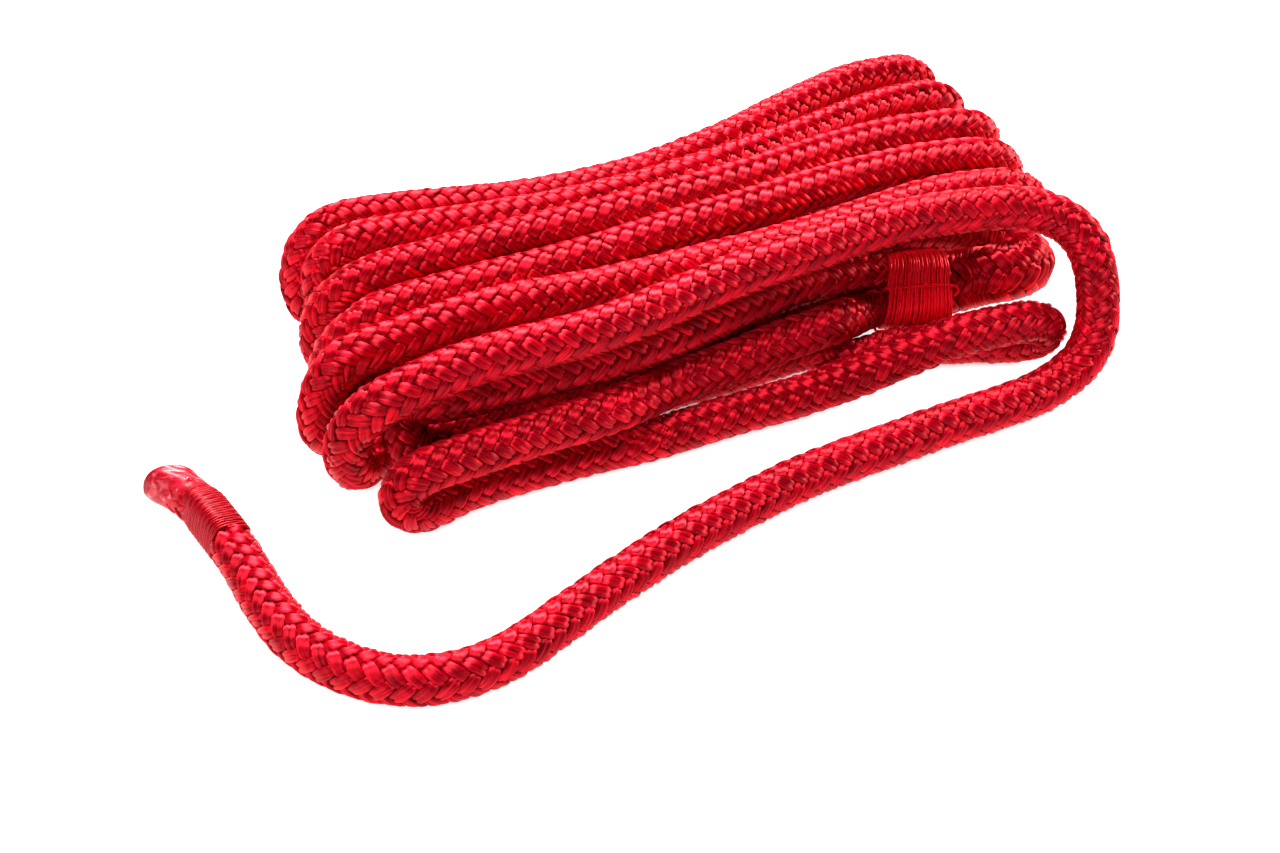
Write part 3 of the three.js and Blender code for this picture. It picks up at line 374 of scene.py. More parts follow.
# where the rings of a strand sit between one dive and the next, in crossings from the middle of a float
RINGS = np.array([-0.98, -0.86, -0.66, -0.33, 0.0, 0.33, 0.66, 0.86])


def smooth_wave(d):
    """+1 on top, -1 underneath: nearly level along a float, then a quick dive."""
    x = (np.abs(d) - 1.0) / DIVE
    y = np.tanh(-x * 1.35) / math.tanh(1.35 * 1 / DIVE)
    crown = -CROWN * np.minimum(np.abs(d), 1.0) ** 2
    return np.where(np.abs(d) < 1.0, y + crown, y - CROWN + 0.10 * np.minimum(np.abs(d) - 1.0, 1.0))


def braid(name, line, s0, s1, parts, material, phase=0.0, radius=None):
    """The strands of the cover from s0 to s1, as `parts` pieces in a row."""
    lap = 2 * math.pi / STRANDS
    unit_turn = math.pi / 8
    # turn of a strand along the line, in crossings
    sf = np.linspace(s0, s1, int((s1 - s0) / 0.5) + 2)
    rf = line.at(sf)[5]
    cover = np.minimum(0.7071, (PITCH * 0.7071) / (lap * rf))       # cosine of the lay angle
    bent = np.minimum(np.linalg.norm(line.at(sf)[4], axis=1) * rf, 0.8)
    kf = np.tan(np.arccos(cover)) / rf * (1 + 0.38 * bent)          # radians per mm: picks crowd in a bend
    xf = np.r_[0, np.cumsum(0.5 * (kf[1:] + kf[:-1]) * np.diff(sf))] / unit_turn
    fam = []
    for sign in (1.0, -1.0):
        off = 0.5 if sign > 0 else -0.5
        n2 = int(xf[-1] // 2) + 2
        x = (np.arange(-1, n2)[:, None] * 2 + off + RINGS[None]).ravel()
        x = x[(x > 0.02) & (x < xf[-1] - 0.02)]
        x = np.r_[0, x, xf[-1]]
        s = np.interp(x, xf, sf)
        k = np.interp(s, sf, kf)
        c, t, nn, bb, kk, r = line.at(s)
        j = np.arange(STRANDS, dtype=float)[:, None]
        theta = sign * x[None] * unit_turn + lap * j + phase
        m = sign * x[None] + 2 * j
        d = (np.where(sign > 0, m - 0.5, m - 2.5) + 2) % 4 - 2      # 0 at the middle of a float
        wave = smooth_wave(d)
        er = np.cos(theta)[..., None] * nn[None] + np.sin(theta)[..., None] * bb[None]
        rr = np.broadcast_to(r[None], theta.shape) if radius is None else radius(s, r, er)
        size = np.clip(rr / 6.0, 0.6, 1.0)
        rho = rr - (AMP + THICK / 2) * size + AMP * size * wave
        p = c[None] + rho[..., None] * er
        tan = np.zeros_like(p)
        ds = np.diff(s)[None, :, None]
        seg = np.diff(p, axis=1) / ds
        tan[:, 1:-1] = (seg[:, 1:] * ds[:, :-1] + seg[:, :-1] * ds[:, 1:]) / (ds[:, 1:] + ds[:, :-1])
        tan[:, 0], tan[:, -1] = seg[:, 0], seg[:, -1]
        tan = unit(tan)
        side = unit(np.cross(tan, er))
        up = np.cross(side, tan)
        f = np.maximum(1 - rho * (er * kk[None]).sum(-1), 0.12)
        rk = rho * k[None]
        gap = f * (lap / k[None]) * rk / np.sqrt(f * f + rk * rk)   # distance to the next strand
        gap = np.clip(gap, 0.9, 4.4)
        pid = np.floor((x + 100 - off + 1) / 2)[None] + 31 * j + 977 * (sign > 0)
        jit = hash01(pid, 1.7)
        leaf = 1.05 - 0.06 * np.minimum(np.abs(d), 1.0) ** 2 - 0.04 * (np.abs(d) > 1.02)   # fullest in the middle
        half = 0.5 * gap * WIDE * leaf * (0.96 + 0.08 * hash01(pid, 4.2))
        tall = 0.5 * THICK * size * np.clip((3.36 / gap) ** 0.4, 0.8, 1.25)
        # a float is drawn slightly askew and its yarns part unevenly
        roll = (hash01(pid, 8.8) - 0.5) * 0.34
        side, up = (side * np.cos(roll)[..., None] + up * np.sin(roll)[..., None],
                    up * np.cos(roll)[..., None] - side * np.sin(roll)[..., None])
        sx = SECTION[None, None, :, 0] + 0.0 * half[..., None]
        sy = np.broadcast_to(SECTION[None, None, :, 1], sx.shape).copy()
        part = (hash01(pid, 5.1) - 0.5)[..., None] * 0.16
        inner = (np.abs(SECTION[:, 0]) < 0.9) & (SECTION[:, 1] > 0)
        sx = sx + part * inner[None, None]
        for q, seed in ((1, 2.3), (2, 2.3), (3, 2.3), (5, 6.4), (6, 6.4), (7, 6.4)):
            sy[..., q] += (hash01(pid, seed) - 0.6) * 0.24
        sy[..., 4] += (hash01(pid, 7.9) - 0.5) * 0.40
        rings = p[:, :, None] + side[:, :, None] * (half[..., None] * sx)[..., None] + up[:, :, None] * (tall[..., None] * sy)[..., None]
        run = np.cumsum(np.linalg.norm(np.diff(p, axis=1, prepend=p[:, :1]), axis=-1), axis=1)
        fam.append((s, rings, wave, jit, run))
    obs = []
    for q in range(parts):
        lo, hi = s0 + (s1 - s0) * q / parts, s0 + (s1 - s0) * (q + 1) / parts
        vs, qs, cs, us, at = [], [], [], [], {"strand": [], "lift": [], "pick": []}
        off = 0
        for fi, (s, rings, wave, jit, run) in enumerate(fam):
            a = 0 if q == 0 else int(np.searchsorted(s, lo))
            b = len(s) if q == parts - 1 else int(np.searchsorted(s, hi)) + 1
            v, qd, cp = grid_tubes(rings[:, a:b])
            shape = rings[:, a:b].shape[:3]
            vs.append(v); qs.append(qd + off); cs.append(cp + off)
            off += len(v)
            us.append(np.stack([np.broadcast_to(SEC_U[None, None], shape), np.broadcast_to(run[:, a:b, None] * 0.1, shape)], -1).reshape(-1, 2))
            at["strand"].append(np.broadcast_to((np.arange(STRANDS) + 8.0 * fi)[:, None, None], shape).ravel())
            at["lift"].append(np.broadcast_to((0.5 + 0.5 * wave[:, a:b])[..., None], shape).ravel())
            at["pick"].append(np.broadcast_to(jit[:, a:b, None], shape).ravel())
        nm = name if parts == 1 else f"{name}_{q + 1}"
        obs.append(make_object(nm, np.concatenate(vs), np.concatenate(qs), np.concatenate(cs), np.concatenate(us),
                               {k2: np.concatenate(v2) for k2, v2 in at.items()}, material))
    return obs


def core_tube(name, line, s0, s1, inset, material, step=2.0, sides=16, radius=None):
    n = int(round((s1 - s0) / step)) + 1
    s = np.linspace(s0, s1, n)
    c, t, nn, bb, kk, r = line.at(s)
    a = np.arange(sides) * 2 * math.pi / sides
    er = np.cos(a)[:, None, None] * nn[None] + np.sin(a)[:, None, None] * bb[None]
    rad = np.broadcast_to(r[None], (sides, n)) if radius is None else radius(s, r, er)
    rad = (rad - inset).T
    rings = c[:, None] + rad[..., None] * (np.cos(a)[None, :, None] * nn[:, None] + np.sin(a)[None, :, None] * bb[:, None])
    verts, quads, caps = grid_tubes(rings[None])
    return make_object(name, verts, quads, caps, material=material), c


# ------------------------------------------------------------------ materials
def new_mat(name):
    m = bpy.data.materials.new(name)
    m.use_nodes = True
    nt = m.node_tree
    return m, nt, nt.nodes["Principled BSDF"]


def node(nt, kind, **props):
    n = nt.nodes.new(kind)
    for k, v in props.items():
        setattr(n, k, v)
    return n


def lin(r, g, b):
    def f(x):
        x /= 255
        return x / 12.92 if x <= 0.04045 else ((x + 0.055) / 1.055) ** 2.4
    return (f(r), f(g), f(b), 1)


RED_LIT = (0.84, 0.0012, 0.017, 1)
RED_MID = (0.30, 0.0003, 0.005, 1)
# the red of the painted shade where strands dive and between their yarns
RED_PAINTED_SHADE = (0.08, 0.0001, 0.0012, 1)


def math_node(nt, op, a, b=None, c=None):
    n = node(nt, "ShaderNodeMath", operation=op)
    for k, v in enumerate((a, b, c)):
        if v is None:
            continue
        if hasattr(v, "is_linked"):
            nt.links.new(v, n.inputs[k])
        else:
            n.inputs[k].default_value = v
    return n.outputs[0]


def map_range(nt, value, f0, f1, t0=0.0, t1=1.0, smooth=False):
    n = node(nt, "ShaderNodeMapRange")
    if smooth:
        n.interpolation_type = "SMOOTHSTEP"
    nt.links.new(value, n.inputs["Value"])
    for key, v in (("From Min", f0), ("From Max", f1), ("To Min", t0), ("To Max", t1)):
        n.inputs[key].default_value = v
    return n.outputs[0]


def mix_color(nt, fac, a, b):
    n = node(nt, "ShaderNodeMix", data_type="RGBA")
    nt.links.new(fac, n.inputs["Factor"])
    for key, v in (("A", a), ("B", b)):
        if hasattr(v, "is_linked"):
            nt.links.new(v, n.inputs[key])
        else:
            n.inputs[key].default_value = v
    return n.outputs["Result"]


def braid_material(name, streaks=5.5, along=0.55):
    """Bundles of bright filament: streaks along the strand, yarn ridges, and painted shade where strands dive and
    between the yarns.
    """
    m, nt, p = new_mat(name)
    uv = node(nt, "ShaderNodeUVMap", uv_map="fibre")
    sid = node(nt, "ShaderNodeAttribute", attribute_name="strand").outputs["Fac"]
    lift = node(nt, "ShaderNodeAttribute", attribute_name="lift").outputs["Fac"]
    pick = node(nt, "ShaderNodeAttribute", attribute_name="pick").outputs["Fac"]
    sep = node(nt, "ShaderNodeSeparateXYZ")
    nt.links.new(uv.outputs["UV"], sep.inputs[0])
    u, v = sep.outputs["X"], sep.outputs["Y"]
    # filaments lie a few degrees off the strand, by their twist
    lean = math_node(nt, "MULTIPLY_ADD", v, 0.35, u)
    z = math_node(nt, "MULTIPLY_ADD", pick, 7.0, sid)

    def noise(across, along_, detail, rough):
        comb = node(nt, "ShaderNodeCombineXYZ")
        nt.links.new(math_node(nt, "MULTIPLY", lean, across), comb.inputs["X"])
        nt.links.new(math_node(nt, "MULTIPLY", v, along_), comb.inputs["Y"])
        nt.links.new(z, comb.inputs["Z"])
        n = node(nt, "ShaderNodeTexNoise")
        n.inputs["Scale"].default_value = 1.0
        n.inputs["Detail"].default_value = detail
        n.inputs["Roughness"].default_value = rough
        nt.links.new(comb.outputs[0], n.inputs["Vector"])
        return n.outputs["Fac"]

    coarse = noise(streaks, along, 1.0, 0.5)
    fine = noise(streaks * 3.1, along * 1.6, 2.0, 0.6)
    both = math_node(nt, "MULTIPLY_ADD", fine, 0.45, math_node(nt, "MULTIPLY", coarse, 0.55))
    base = mix_color(nt, map_range(nt, both, 0.38, 0.62), RED_MID, RED_LIT)
    # painted shade: dark lines between the two yarns of a strand and down its sides, where shade falls
    side = math_node(nt, "ABSOLUTE", math_node(nt, "SUBTRACT", u, 0.5))
    groove_shade = math_node(nt, "MAXIMUM", map_range(nt, side, 0.0, 0.09, 0.34, 0.0, smooth=True),
                       map_range(nt, side, 0.40, 0.49, 0.0, 0.65, smooth=True))
    base = mix_color(nt, groove_shade, base, RED_PAINTED_SHADE)
    # painted shade: darker where a strand dives under its neighbour
    dive = map_range(nt, lift, 0.16, 0.66, 0.94, 0.0, smooth=True)
    base = mix_color(nt, dive, base, RED_PAINTED_SHADE)
    hsv = node(nt, "ShaderNodeHueSaturation")
    nt.links.new(map_range(nt, pick, 0.0, 1.0, 0.78, 1.14), hsv.inputs["Value"])
    nt.links.new(base, hsv.inputs["Color"])
    nt.links.new(hsv.outputs["Color"], p.inputs["Base Color"])
    # the filaments stand out a little
    height = both
    bump = node(nt, "ShaderNodeBump")
    bump.inputs["Strength"].default_value = 0.9
    bump.inputs["Distance"].default_value = 0.00026
    nt.links.new(height, bump.inputs["Height"])
    nt.links.new(bump.outputs["Normal"], p.inputs["Normal"])
    tan = node(nt, "ShaderNodeTangent", direction_type="UV_MAP", uv_map="fibre")
    nt.links.new(tan.outputs[0], p.inputs["Tangent"])
    p.inputs["Anisotropic"].default_value = 1.0
    p.inputs["Roughness"].default_value = 0.46
    p.inputs["Metallic"].default_value = 0.54
    p.inputs["IOR"].default_value = 1.46
    nt.links.new(map_range(nt, lift, 0.30, 0.80, 0.12, 1.0), p.inputs["Specular IOR Level"])
    p.inputs["Specular Tint"].default_value = (1.0, 0.25, 0.32, 1)
    return m


def plain_red(name, color, rough=0.6):
    m, nt, p = new_mat(name)
    tex = node(nt, "ShaderNodeTexNoise")
    tex.inputs["Scale"].default_value = 900
    tc = node(nt, "ShaderNodeTexCoord")
    nt.links.new(tc.outputs["Object"], tex.inputs["Vector"])
    mr = node(nt, "ShaderNodeMix", data_type="RGBA")
    mr.inputs["A"].default_value = tuple(x * 0.7 for x in color[:3]) + (1,)
    mr.inputs["B"].default_value = color
    nt.links.new(tex.outputs["Fac"], mr.inputs["Factor"])
    nt.links.new(mr.outputs["Result"], p.inputs["Base Color"])
    p.inputs["Roughness"].default_value = rough
    p.inputs["Specular IOR Level"].default_value = 0.15
    p.inputs["Specular Tint"].default_value = (1.0, 0.1, 0.13, 1)
    return m


MAT_BRAID = braid_material("red_braid")
MAT_CORE = plain_red("under_braid", (0.22, 0.001, 0.006, 1), 0.7)

# ------------------------------------------------------------------ the line
main = Line(MAIN)
eye = Line(EYE)
END = main.length
WHIP_A, WHIP_B = END - 32.6, END - 12.5     # end whipping
TIP = END - 7.0


def ease(x):
    x = np.clip(x, 0, 1)
    return x * x * (3 - 2 * x)


Z_UP = np.array([0.0, 0.0, 1.0])
LEG_TALL = np.array([0.0, 0.64, 0.77])      # across the two legs at the throat
END_UP = np.array([0.318, 0.127, 0.940])    # up across the bound end, turned by END_TILT


def main_radius(s, r, er):
    """The line is oval where it leaves the throat, and drawn in under the end whipping."""
    tall = LEG_TALL / np.linalg.norm(LEG_TALL)
    ca = er @ tall
    sa = np.sqrt(np.maximum(1 - ca * ca, 0))
    oval = ((np.abs(ca) / 9.3) ** 2.4 + (np.abs(sa) / 5.7) ** 2.4) ** (-1 / 2.4)
    w = ease((s - 8.0) / 15.0)[None]
    out = oval * (1 - w) + r[None] * w
    cz = er @ END_UP
    sz = np.sqrt(np.maximum(1 - cz * cz, 0))
    end = ((np.abs(cz) / 5.05) ** 2.8 + (np.abs(sz) / 4.55) ** 2.8) ** (-1 / 2.8)
    w = ease((s - (WHIP_A - 1.0)) / 2.6)[None] * (1 + 0.10 * ease((s - (WHIP_A + 0.5)) / 2.0)[None])
    return out * (1 - w) + end * w


def eye_radius(s, r, er):
    """The legs of the eye are drawn in where they enter the throat."""
    near = np.minimum(s, eye.length - s)
    return (r * (0.86 + 0.14 * ease((near - 8) / 16)))[None] + 0 * er[..., 0]


core_main, path_main = core_tube("line_core", main, 0, TIP, 1.95, MAT_CORE, radius=main_radius)
core_eye, path_eye = core_tube("eye_core_line", eye, 0, eye.length, 1.95, MAT_CORE, radius=eye_radius)
braid_main = braid("line_cover", main, 7.0, TIP, 11, MAT_BRAID, phase=0.2, radius=main_radius)
braid_eye = braid("eye_cover_braid", eye, 0, eye.length, 3, MAT_BRAID, phase=0.2, radius=eye_radius)

# ------------------------------------------------------------------ whippings, sleeve and tip
def twine_tube(path, radius, plies=2, lay=1.6, sides=10, twist0=0.0, closed_ends=True):
    """A twisted twine along path (n x 3, mm): the plies turn once every `lay` mm."""
    path = np.asarray(path, float)
    t = unit(np.gradient(path, axis=0))
    s = np.r_[0, np.cumsum(np.linalg.norm(np.diff(path, axis=0), axis=1))]
    nrm = np.zeros_like(path)
    v = np.array([0.3, 0.2, 0.93])
    v = v - v @ t[0] * t[0]
    nrm[0] = v / np.linalg.norm(v)
    for i in range(len(path) - 1):
        q = nrm[i] - nrm[i] @ t[i + 1] * t[i + 1]
        nrm[i + 1] = q / max(np.linalg.norm(q), 1e-9)
    b = np.cross(t, nrm)
    a = np.arange(sides) * 2 * math.pi / sides
    w = 2 * math.pi * s[:, None] / lay + twist0
    rr = radius * (0.90 + 0.16 * np.cos(plies * (a[None] - w)))
    rings = path[:, None] + rr[..., None] * (np.cos(a)[None, :, None] * nrm[:, None] + np.sin(a)[None, :, None] * b[:, None])
    verts, quads, caps = grid_tubes(rings[None])
    uv = np.stack([np.broadcast_to((a / (2 * math.pi))[None], rr.shape), np.broadcast_to(s[:, None] * 0.1, rr.shape)], -1).reshape(-1, 2)
    return verts, quads, caps, uv


def join(parts):
    vs, qs, cs, us, off = [], [], [], [], 0
    for v, q, c, u in parts:
        vs.append(v); qs.append(q + off); cs.append(c + off); us.append(u)
        off += len(v)
    return np.concatenate(vs), np.concatenate(qs), np.concatenate(cs), np.concatenate(us)


def twine_material(name, lit, deep):
    m, nt, p = new_mat(name)
    uv = node(nt, "ShaderNodeUVMap", uv_map="fibre")
    mp = node(nt, "ShaderNodeMapping")
    mp.inputs["Scale"].default_value = (5, 3.0, 1)
    mp.inputs["Rotation"].default_value = (0, 0, 0.5)
    nt.links.new(uv.outputs["UV"], mp.inputs["Vector"])
    fib = node(nt, "ShaderNodeTexNoise")
    fib.inputs["Scale"].default_value = 2.0
    fib.inputs["Detail"].default_value = 2.0
    nt.links.new(mp.outputs[0], fib.inputs["Vector"])
    mr = node(nt, "ShaderNodeMapRange")
    mr.inputs["From Min"].default_value = 0.3
    mr.inputs["From Max"].default_value = 0.7
    nt.links.new(fib.outputs["Fac"], mr.inputs["Value"])
    mix = node(nt, "ShaderNodeMix", data_type="RGBA")
    mix.inputs["A"].default_value = deep
    mix.inputs["B"].default_value = lit
    nt.links.new(mr.outputs[0], mix.inputs["Factor"])
    nt.links.new(mix.outputs["Result"], p.inputs["Base Color"])
    bump = node(nt, "ShaderNodeBump")
    bump.inputs["Strength"].default_value = 0.4
    bump.inputs["Distance"].default_value = 0.00008
    nt.links.new(fib.outputs["Fac"], bump.inputs["Height"])
    nt.links.new(bump.outputs["Normal"], p.inputs["Normal"])
    p.inputs["Roughness"].default_value = 0.38
    p.inputs["Metallic"].default_value = 0.30
    p.inputs["Specular IOR Level"].default_value = 0.40
    p.inputs["Specular Tint"].default_value = (1.0, 0.24, 0.30, 1)
    return m


MAT_TWINE = twine_material("whipping_twine", (1.0, 0.003, 0.018, 1), (0.78, 0.002, 0.010, 1))
# painted shade: the end whipping is the same twine as the throat's, in a copy painted much darker
MAT_END_TWINE_SHADED = twine_material("end_whipping_twine", (0.50, 0.001, 0.010, 1), (0.20, 0.0004, 0.003, 1))

# --- throat of the splice: the two legs of the eye bound together
TH_C = np.array([80.1, -10.2, 15.6])
TH_Z = unit(np.array([17, -5.2, -0.9]))
TH_X = np.array([0, 0.64, 0.77])
TH_X = unit(TH_X - TH_X @ TH_Z * TH_Z)
TH_Y = np.cross(TH_Z, TH_X)
TH_LEN, TH_HALF_TALL, TH_HALF_WIDE, TW_R = 17.0, 10.5, 6.2, 0.46
TH_TURNS = 23


def stadium(u, tall, wide):
    """Outline point(s) at share u of the way round, tall along x, wide along y; from the middle of the front."""
    h = tall - wide
    per = 4 * h + 2 * math.pi * wide
    d = (np.asarray(u, float) % 1.0) * per
    x, y = np.zeros_like(d), np.zeros_like(d)
    a = d < h
    x[a], y[a] = d[a], wide
    b = (d >= h) & (d < h + math.pi * wide)
    w = (d[b] - h) / wide
    x[b], y[b] = h + wide * np.sin(w), wide * np.cos(w)
    c = (d >= h + math.pi * wide) & (d < 3 * h + math.pi * wide)
    x[c], y[c] = h - (d[c] - h - math.pi * wide), -wide
    e = (d >= 3 * h + math.pi * wide) & (d < 3 * h + 2 * math.pi * wide)
    w = (d[e] - 3 * h - math.pi * wide) / wide
    x[e], y[e] = -h - wide * np.sin(w), -wide * np.cos(w)
    g = d >= 3 * h + 2 * math.pi * wide
    x[g], y[g] = -h + (d[g] - 3 * h - 2 * math.pi * wide), wide
    return x, y


def throat_point(a, x, y):
    """a along the whipping from -0.5 to 0.5; the turns fan out towards the eye on the lower side."""
    f = 1 - (a + 0.5)
    skew = -3.6 * f * (0.5 - x / (2 * TH_HALF_TALL))
    z = a * TH_LEN + skew
    return TH_C + np.asarray(z)[..., None] * TH_Z + np.asarray(x)[..., None] * TH_X + np.asarray(y)[..., None] * TH_Y


per_turn = 56
n_pts = TH_TURNS * per_turn
tau = np.linspace(0, TH_TURNS, n_pts + 1)
wob = 0.22 * np.sin(tau * 2.1) + 0.14 * np.sin(tau * 5.3 + 1) + 0.36 * (hash01(np.floor(tau), 3.3) - 0.5)
sx, sy = stadium(tau, TH_HALF_TALL, TH_HALF_WIDE)
pull = 1 + 0.030 * (hash01(np.floor(tau), 6.1) - 0.5) - 0.03 * (np.abs(tau / TH_TURNS - 0.5) * 2) ** 4
th_path = throat_point((tau + 0.8 * wob) / TH_TURNS - 0.5, sx * pull, sy * pull)
parts = [twine_tube(th_path, TW_R, lay=1.5)]
# the lock turn: one thread along the front over the turns, tucked under at both ends
q = np.linspace(0, 1, 60)
fa = -0.53 + 1.08 * q
fx = 0.6 + 0.35 * np.sin(q * 3.0) - 0.5 * q
fy = TH_HALF_WIDE + TW_R * 1.55 - 1.6 * np.clip((np.abs(q - 0.5) - 0.46) / 0.04, 0, 1)
parts.append(twine_tube(throat_point(fa, fx, fy), TW_R * 0.95, lay=1.5))
# its other run along the lower edge
uu = np.full_like(q, 0.735) + 0.01 * np.sin(q * 6)
lx, ly = stadium(uu, TH_HALF_TALL + TW_R * 1.6, TH_HALF_WIDE + TW_R * 1.6)
inn = 1 - 0.10 * np.clip((np.abs(q - 0.5) - 0.46) / 0.04, 0, 1)
parts.append(twine_tube(throat_point(-0.54 + 1.09 * q, lx * inn, ly * inn), TW_R * 0.9, lay=1.5))
# short tail of the twine, past the end of the turns
k = np.linspace(0, 1, 24)
kn = throat_point(0.53 + 0.06 * np.sin(k * math.pi), 0.2 - 3.0 * k, TH_HALF_WIDE + 0.3 + 0.5 * np.sin(k * math.pi) - 0.9 * k)
parts.append(twine_tube(kn, TW_R * 0.8, lay=1.5))
v, qd, cp, uv = join(parts)
throat_whip = make_object("throat_whipping_twine", v, qd, cp, uv, material=MAT_TWINE)

# what the turns are drawn down on
aa = np.linspace(-0.485, 0.485, 12)
us = np.linspace(0, 1, 48, endpoint=False)
bx, by = stadium(us, TH_HALF_TALL - 0.35, TH_HALF_WIDE - 0.35)
rings = np.stack([throat_point(np.full(48, a), bx, by) for a in aa])
v, qd, cp = grid_tubes(rings[None])
throat_body = make_object("throat_body", v, qd, cp, material=MAT_CORE)


# --- the free end
MOUTH = END - 3.4


def end_section(s):
    """Half height, half width and squareness of the bound end at s."""
    x = ease((s - (WHIP_B - 7.0)) / 7.0)            # a little slimmer at the far end of the turns
    y = np.clip((s - WHIP_B) / (END - WHIP_B), 0, 1) ** 1.5   # then round and open at the mouth of the sleeve
    tall = (5.45 - 0.75 * x) * (1 - y) + 6.0 * y
    wide = (4.95 - 0.75 * x) * (1 - y) + 5.7 * y
    return tall, wide, 3.4 * (1 - y) + 2.1 * y


def super_radius(cos_a, sin_a, tall, wide, p):
    return ((np.abs(cos_a) / tall) ** p + (np.abs(sin_a) / wide) ** p) ** (-1 / p)


def end_frame(s):
    c, t, _, _, _, _ = main.at(s)
    z = np.array([0.0, 0.0, 1.0])
    e1 = unit(z[None] - (t @ z)[:, None] * t)
    return c, t, e1, np.cross(t, e1)


TILT = math.radians(END_TILT)


def end_ring(s, ang, grow=0.0):
    """Points round the bound end at s (mm along the line) and angle ang from up, grown outwards."""
    c, t, e1, e2 = end_frame(s)
    off = (ease((s - (WHIP_B - 14.0)) / 12.0) * (1 - ease((s - WHIP_B) / 9.0)))[:, None]
    lifted = (np.clip((s - WHIP_B) / (END - WHIP_B), 0, 1) ** 1.3)[:, None]
    c = c + off * (0.2 * e1 + 0.45 * e2) + lifted * 0.5 * e1
    tall, wide, p = end_section(s)
    r = super_radius(np.cos(ang - TILT), np.sin(ang - TILT), tall, wide, p) + grow
    r = np.minimum(r, np.where(np.cos(ang) < -0.2, (c[:, 2] - 0.05) / np.maximum(-np.cos(ang), 1e-3), 1e9))
    return c + r[:, None] * (np.cos(ang)[:, None] * e1 + np.sin(ang)[:, None] * e2)


EW_TURNS, EW_R = 23, 0.43
tau = np.linspace(0, EW_TURNS, EW_TURNS * 48 + 1)
frac = tau / EW_TURNS
ss = WHIP_A + (WHIP_B - WHIP_A) * frac + 0.12 * np.sin(np.floor(tau) * 9.1)
parts = [twine_tube(end_ring(ss, tau * 2 * math.pi, grow=-0.15), EW_R, lay=1.3)]
v, qd, cp, uv = join(parts)
end_whip = make_object("end_whipping_twine", v, qd, cp, uv, material=MAT_END_TWINE_SHADED)

# line under it
s_b = np.linspace(WHIP_A + 0.2, WHIP_B + 0.5, 30)
an = np.linspace(0, 2 * math.pi, 40, endpoint=False)
rings = np.stack([end_ring(np.full(40, x), an, grow=-0.45) for x in s_b])
v, qd, cp = grid_tubes(rings[None])
end_body = make_object("end_body", v, qd, cp, material=MAT_CORE)

# melted tip: a hard, uneven plug
s_t = np.r_[TIP - 4.5, np.linspace(TIP - 3.5, TIP + 1.2, 12)]
an = np.linspace(0, 2 * math.pi, 72, endpoint=False)
rings = []
for i, x in enumerate(s_t):
    u = i / (len(s_t) - 1)
    shrink = 1 - 0.75 * max(0.0, (u - 0.55) / 0.45) ** 2.2
    c, t, e1, e2 = end_frame(np.full(72, x))
    c = c + 0.6 * e1 + 0.3 * e2
    lump = 0.45 * np.sin(3 * an + 1.3 + 2 * u) + 0.30 * np.sin(5 * an + 4 * u) + 0.22 * np.sin(9 * an - 6 * u)
    r = (4.5 + lump) * shrink
    push = 0.6 * np.sin(2 * an + 0.7) * (u > 0.5)
    rings.append(c + (push[:, None]) * t + r[:, None] * (np.cos(an)[:, None] * e1 + np.sin(an)[:, None] * e2))
v, qd, cp = grid_tubes(np.array(rings)[None])
tip = make_object("melted_tip", v, qd, cp, smooth_caps=True)

# clear shrink sleeve: a thin film, tight over the whipping, crumpled and stained past it, open at its mouth
sv = np.r_[np.linspace(WHIP_A + 3.0, WHIP_B, 24), np.linspace(WHIP_B + 0.4, MOUTH, 36)]
an = np.linspace(0, 2 * math.pi, 132, endpoint=False)


def film(grow):
    out = []
    for x in sv:
        free = float(np.clip((x - WHIP_B) / (MOUTH - WHIP_B), 0, 1))
        u = x - WHIP_B
        cr = (0.55 * np.abs(np.sin(2.5 * an + 0.35 * u + 0.4)) ** 3 + 0.32 * np.sin(4 * an - 0.5 * u + 2.0)
              + 0.30 * np.abs(np.sin(5.5 * an + 0.9 * u)) - 0.45 * np.abs(np.sin(1.5 * an - 0.25 * u + 1.1)) ** 4)
        cr = cr * (0.06 + 0.94 * math.sin(min(1.0, free * 2.2) * math.pi / 2) * (1 - 0.75 * free))
        cr += 0.04 * np.sin(11 * an + 0.8 * u)
        lean = -3.0 * free * free * np.sin(an - 0.1)              # cut askew: longer on the left
        tuck = -0.45 * (1 - float(ease((x - WHIP_A - 3.0) / 1.8)))
        out.append(end_ring(np.minimum(np.full(132, x) + lean, END - 0.15), an, grow=grow + 0.30 + tuck + cr * 0.7))
    return np.array(out)


outer, inner = film(0.0), film(-0.16)
loop = np.concatenate([outer, inner[::-1]], axis=0)            # round and back: a shell
nr, npt = loop.shape[:2]
idx = np.arange(nr * npt).reshape(nr, npt)
a0 = idx
a1 = np.roll(idx, -1, axis=0)
b0 = np.roll(idx, -1, axis=1)
b1 = np.roll(a1, -1, axis=1)
qd = np.stack([a0, b0, b1, a1], axis=-1).reshape(-1, 4)
stain = ease((sv - (WHIP_B - 1.2)) / 2.6)
rim = np.clip((sv - (MOUTH - 1.0)) / 0.4, 0, 1)
stain = np.broadcast_to(np.r_[stain, stain[::-1]][:, None], (nr, npt)).ravel()
rim = np.broadcast_to(np.r_[rim, rim[::-1]][:, None], (nr, npt)).ravel()
sleeve = make_object("clear_shrink_sleeve", loop.reshape(-1, 3), qd, attrs={"stain": stain, "rim": rim})

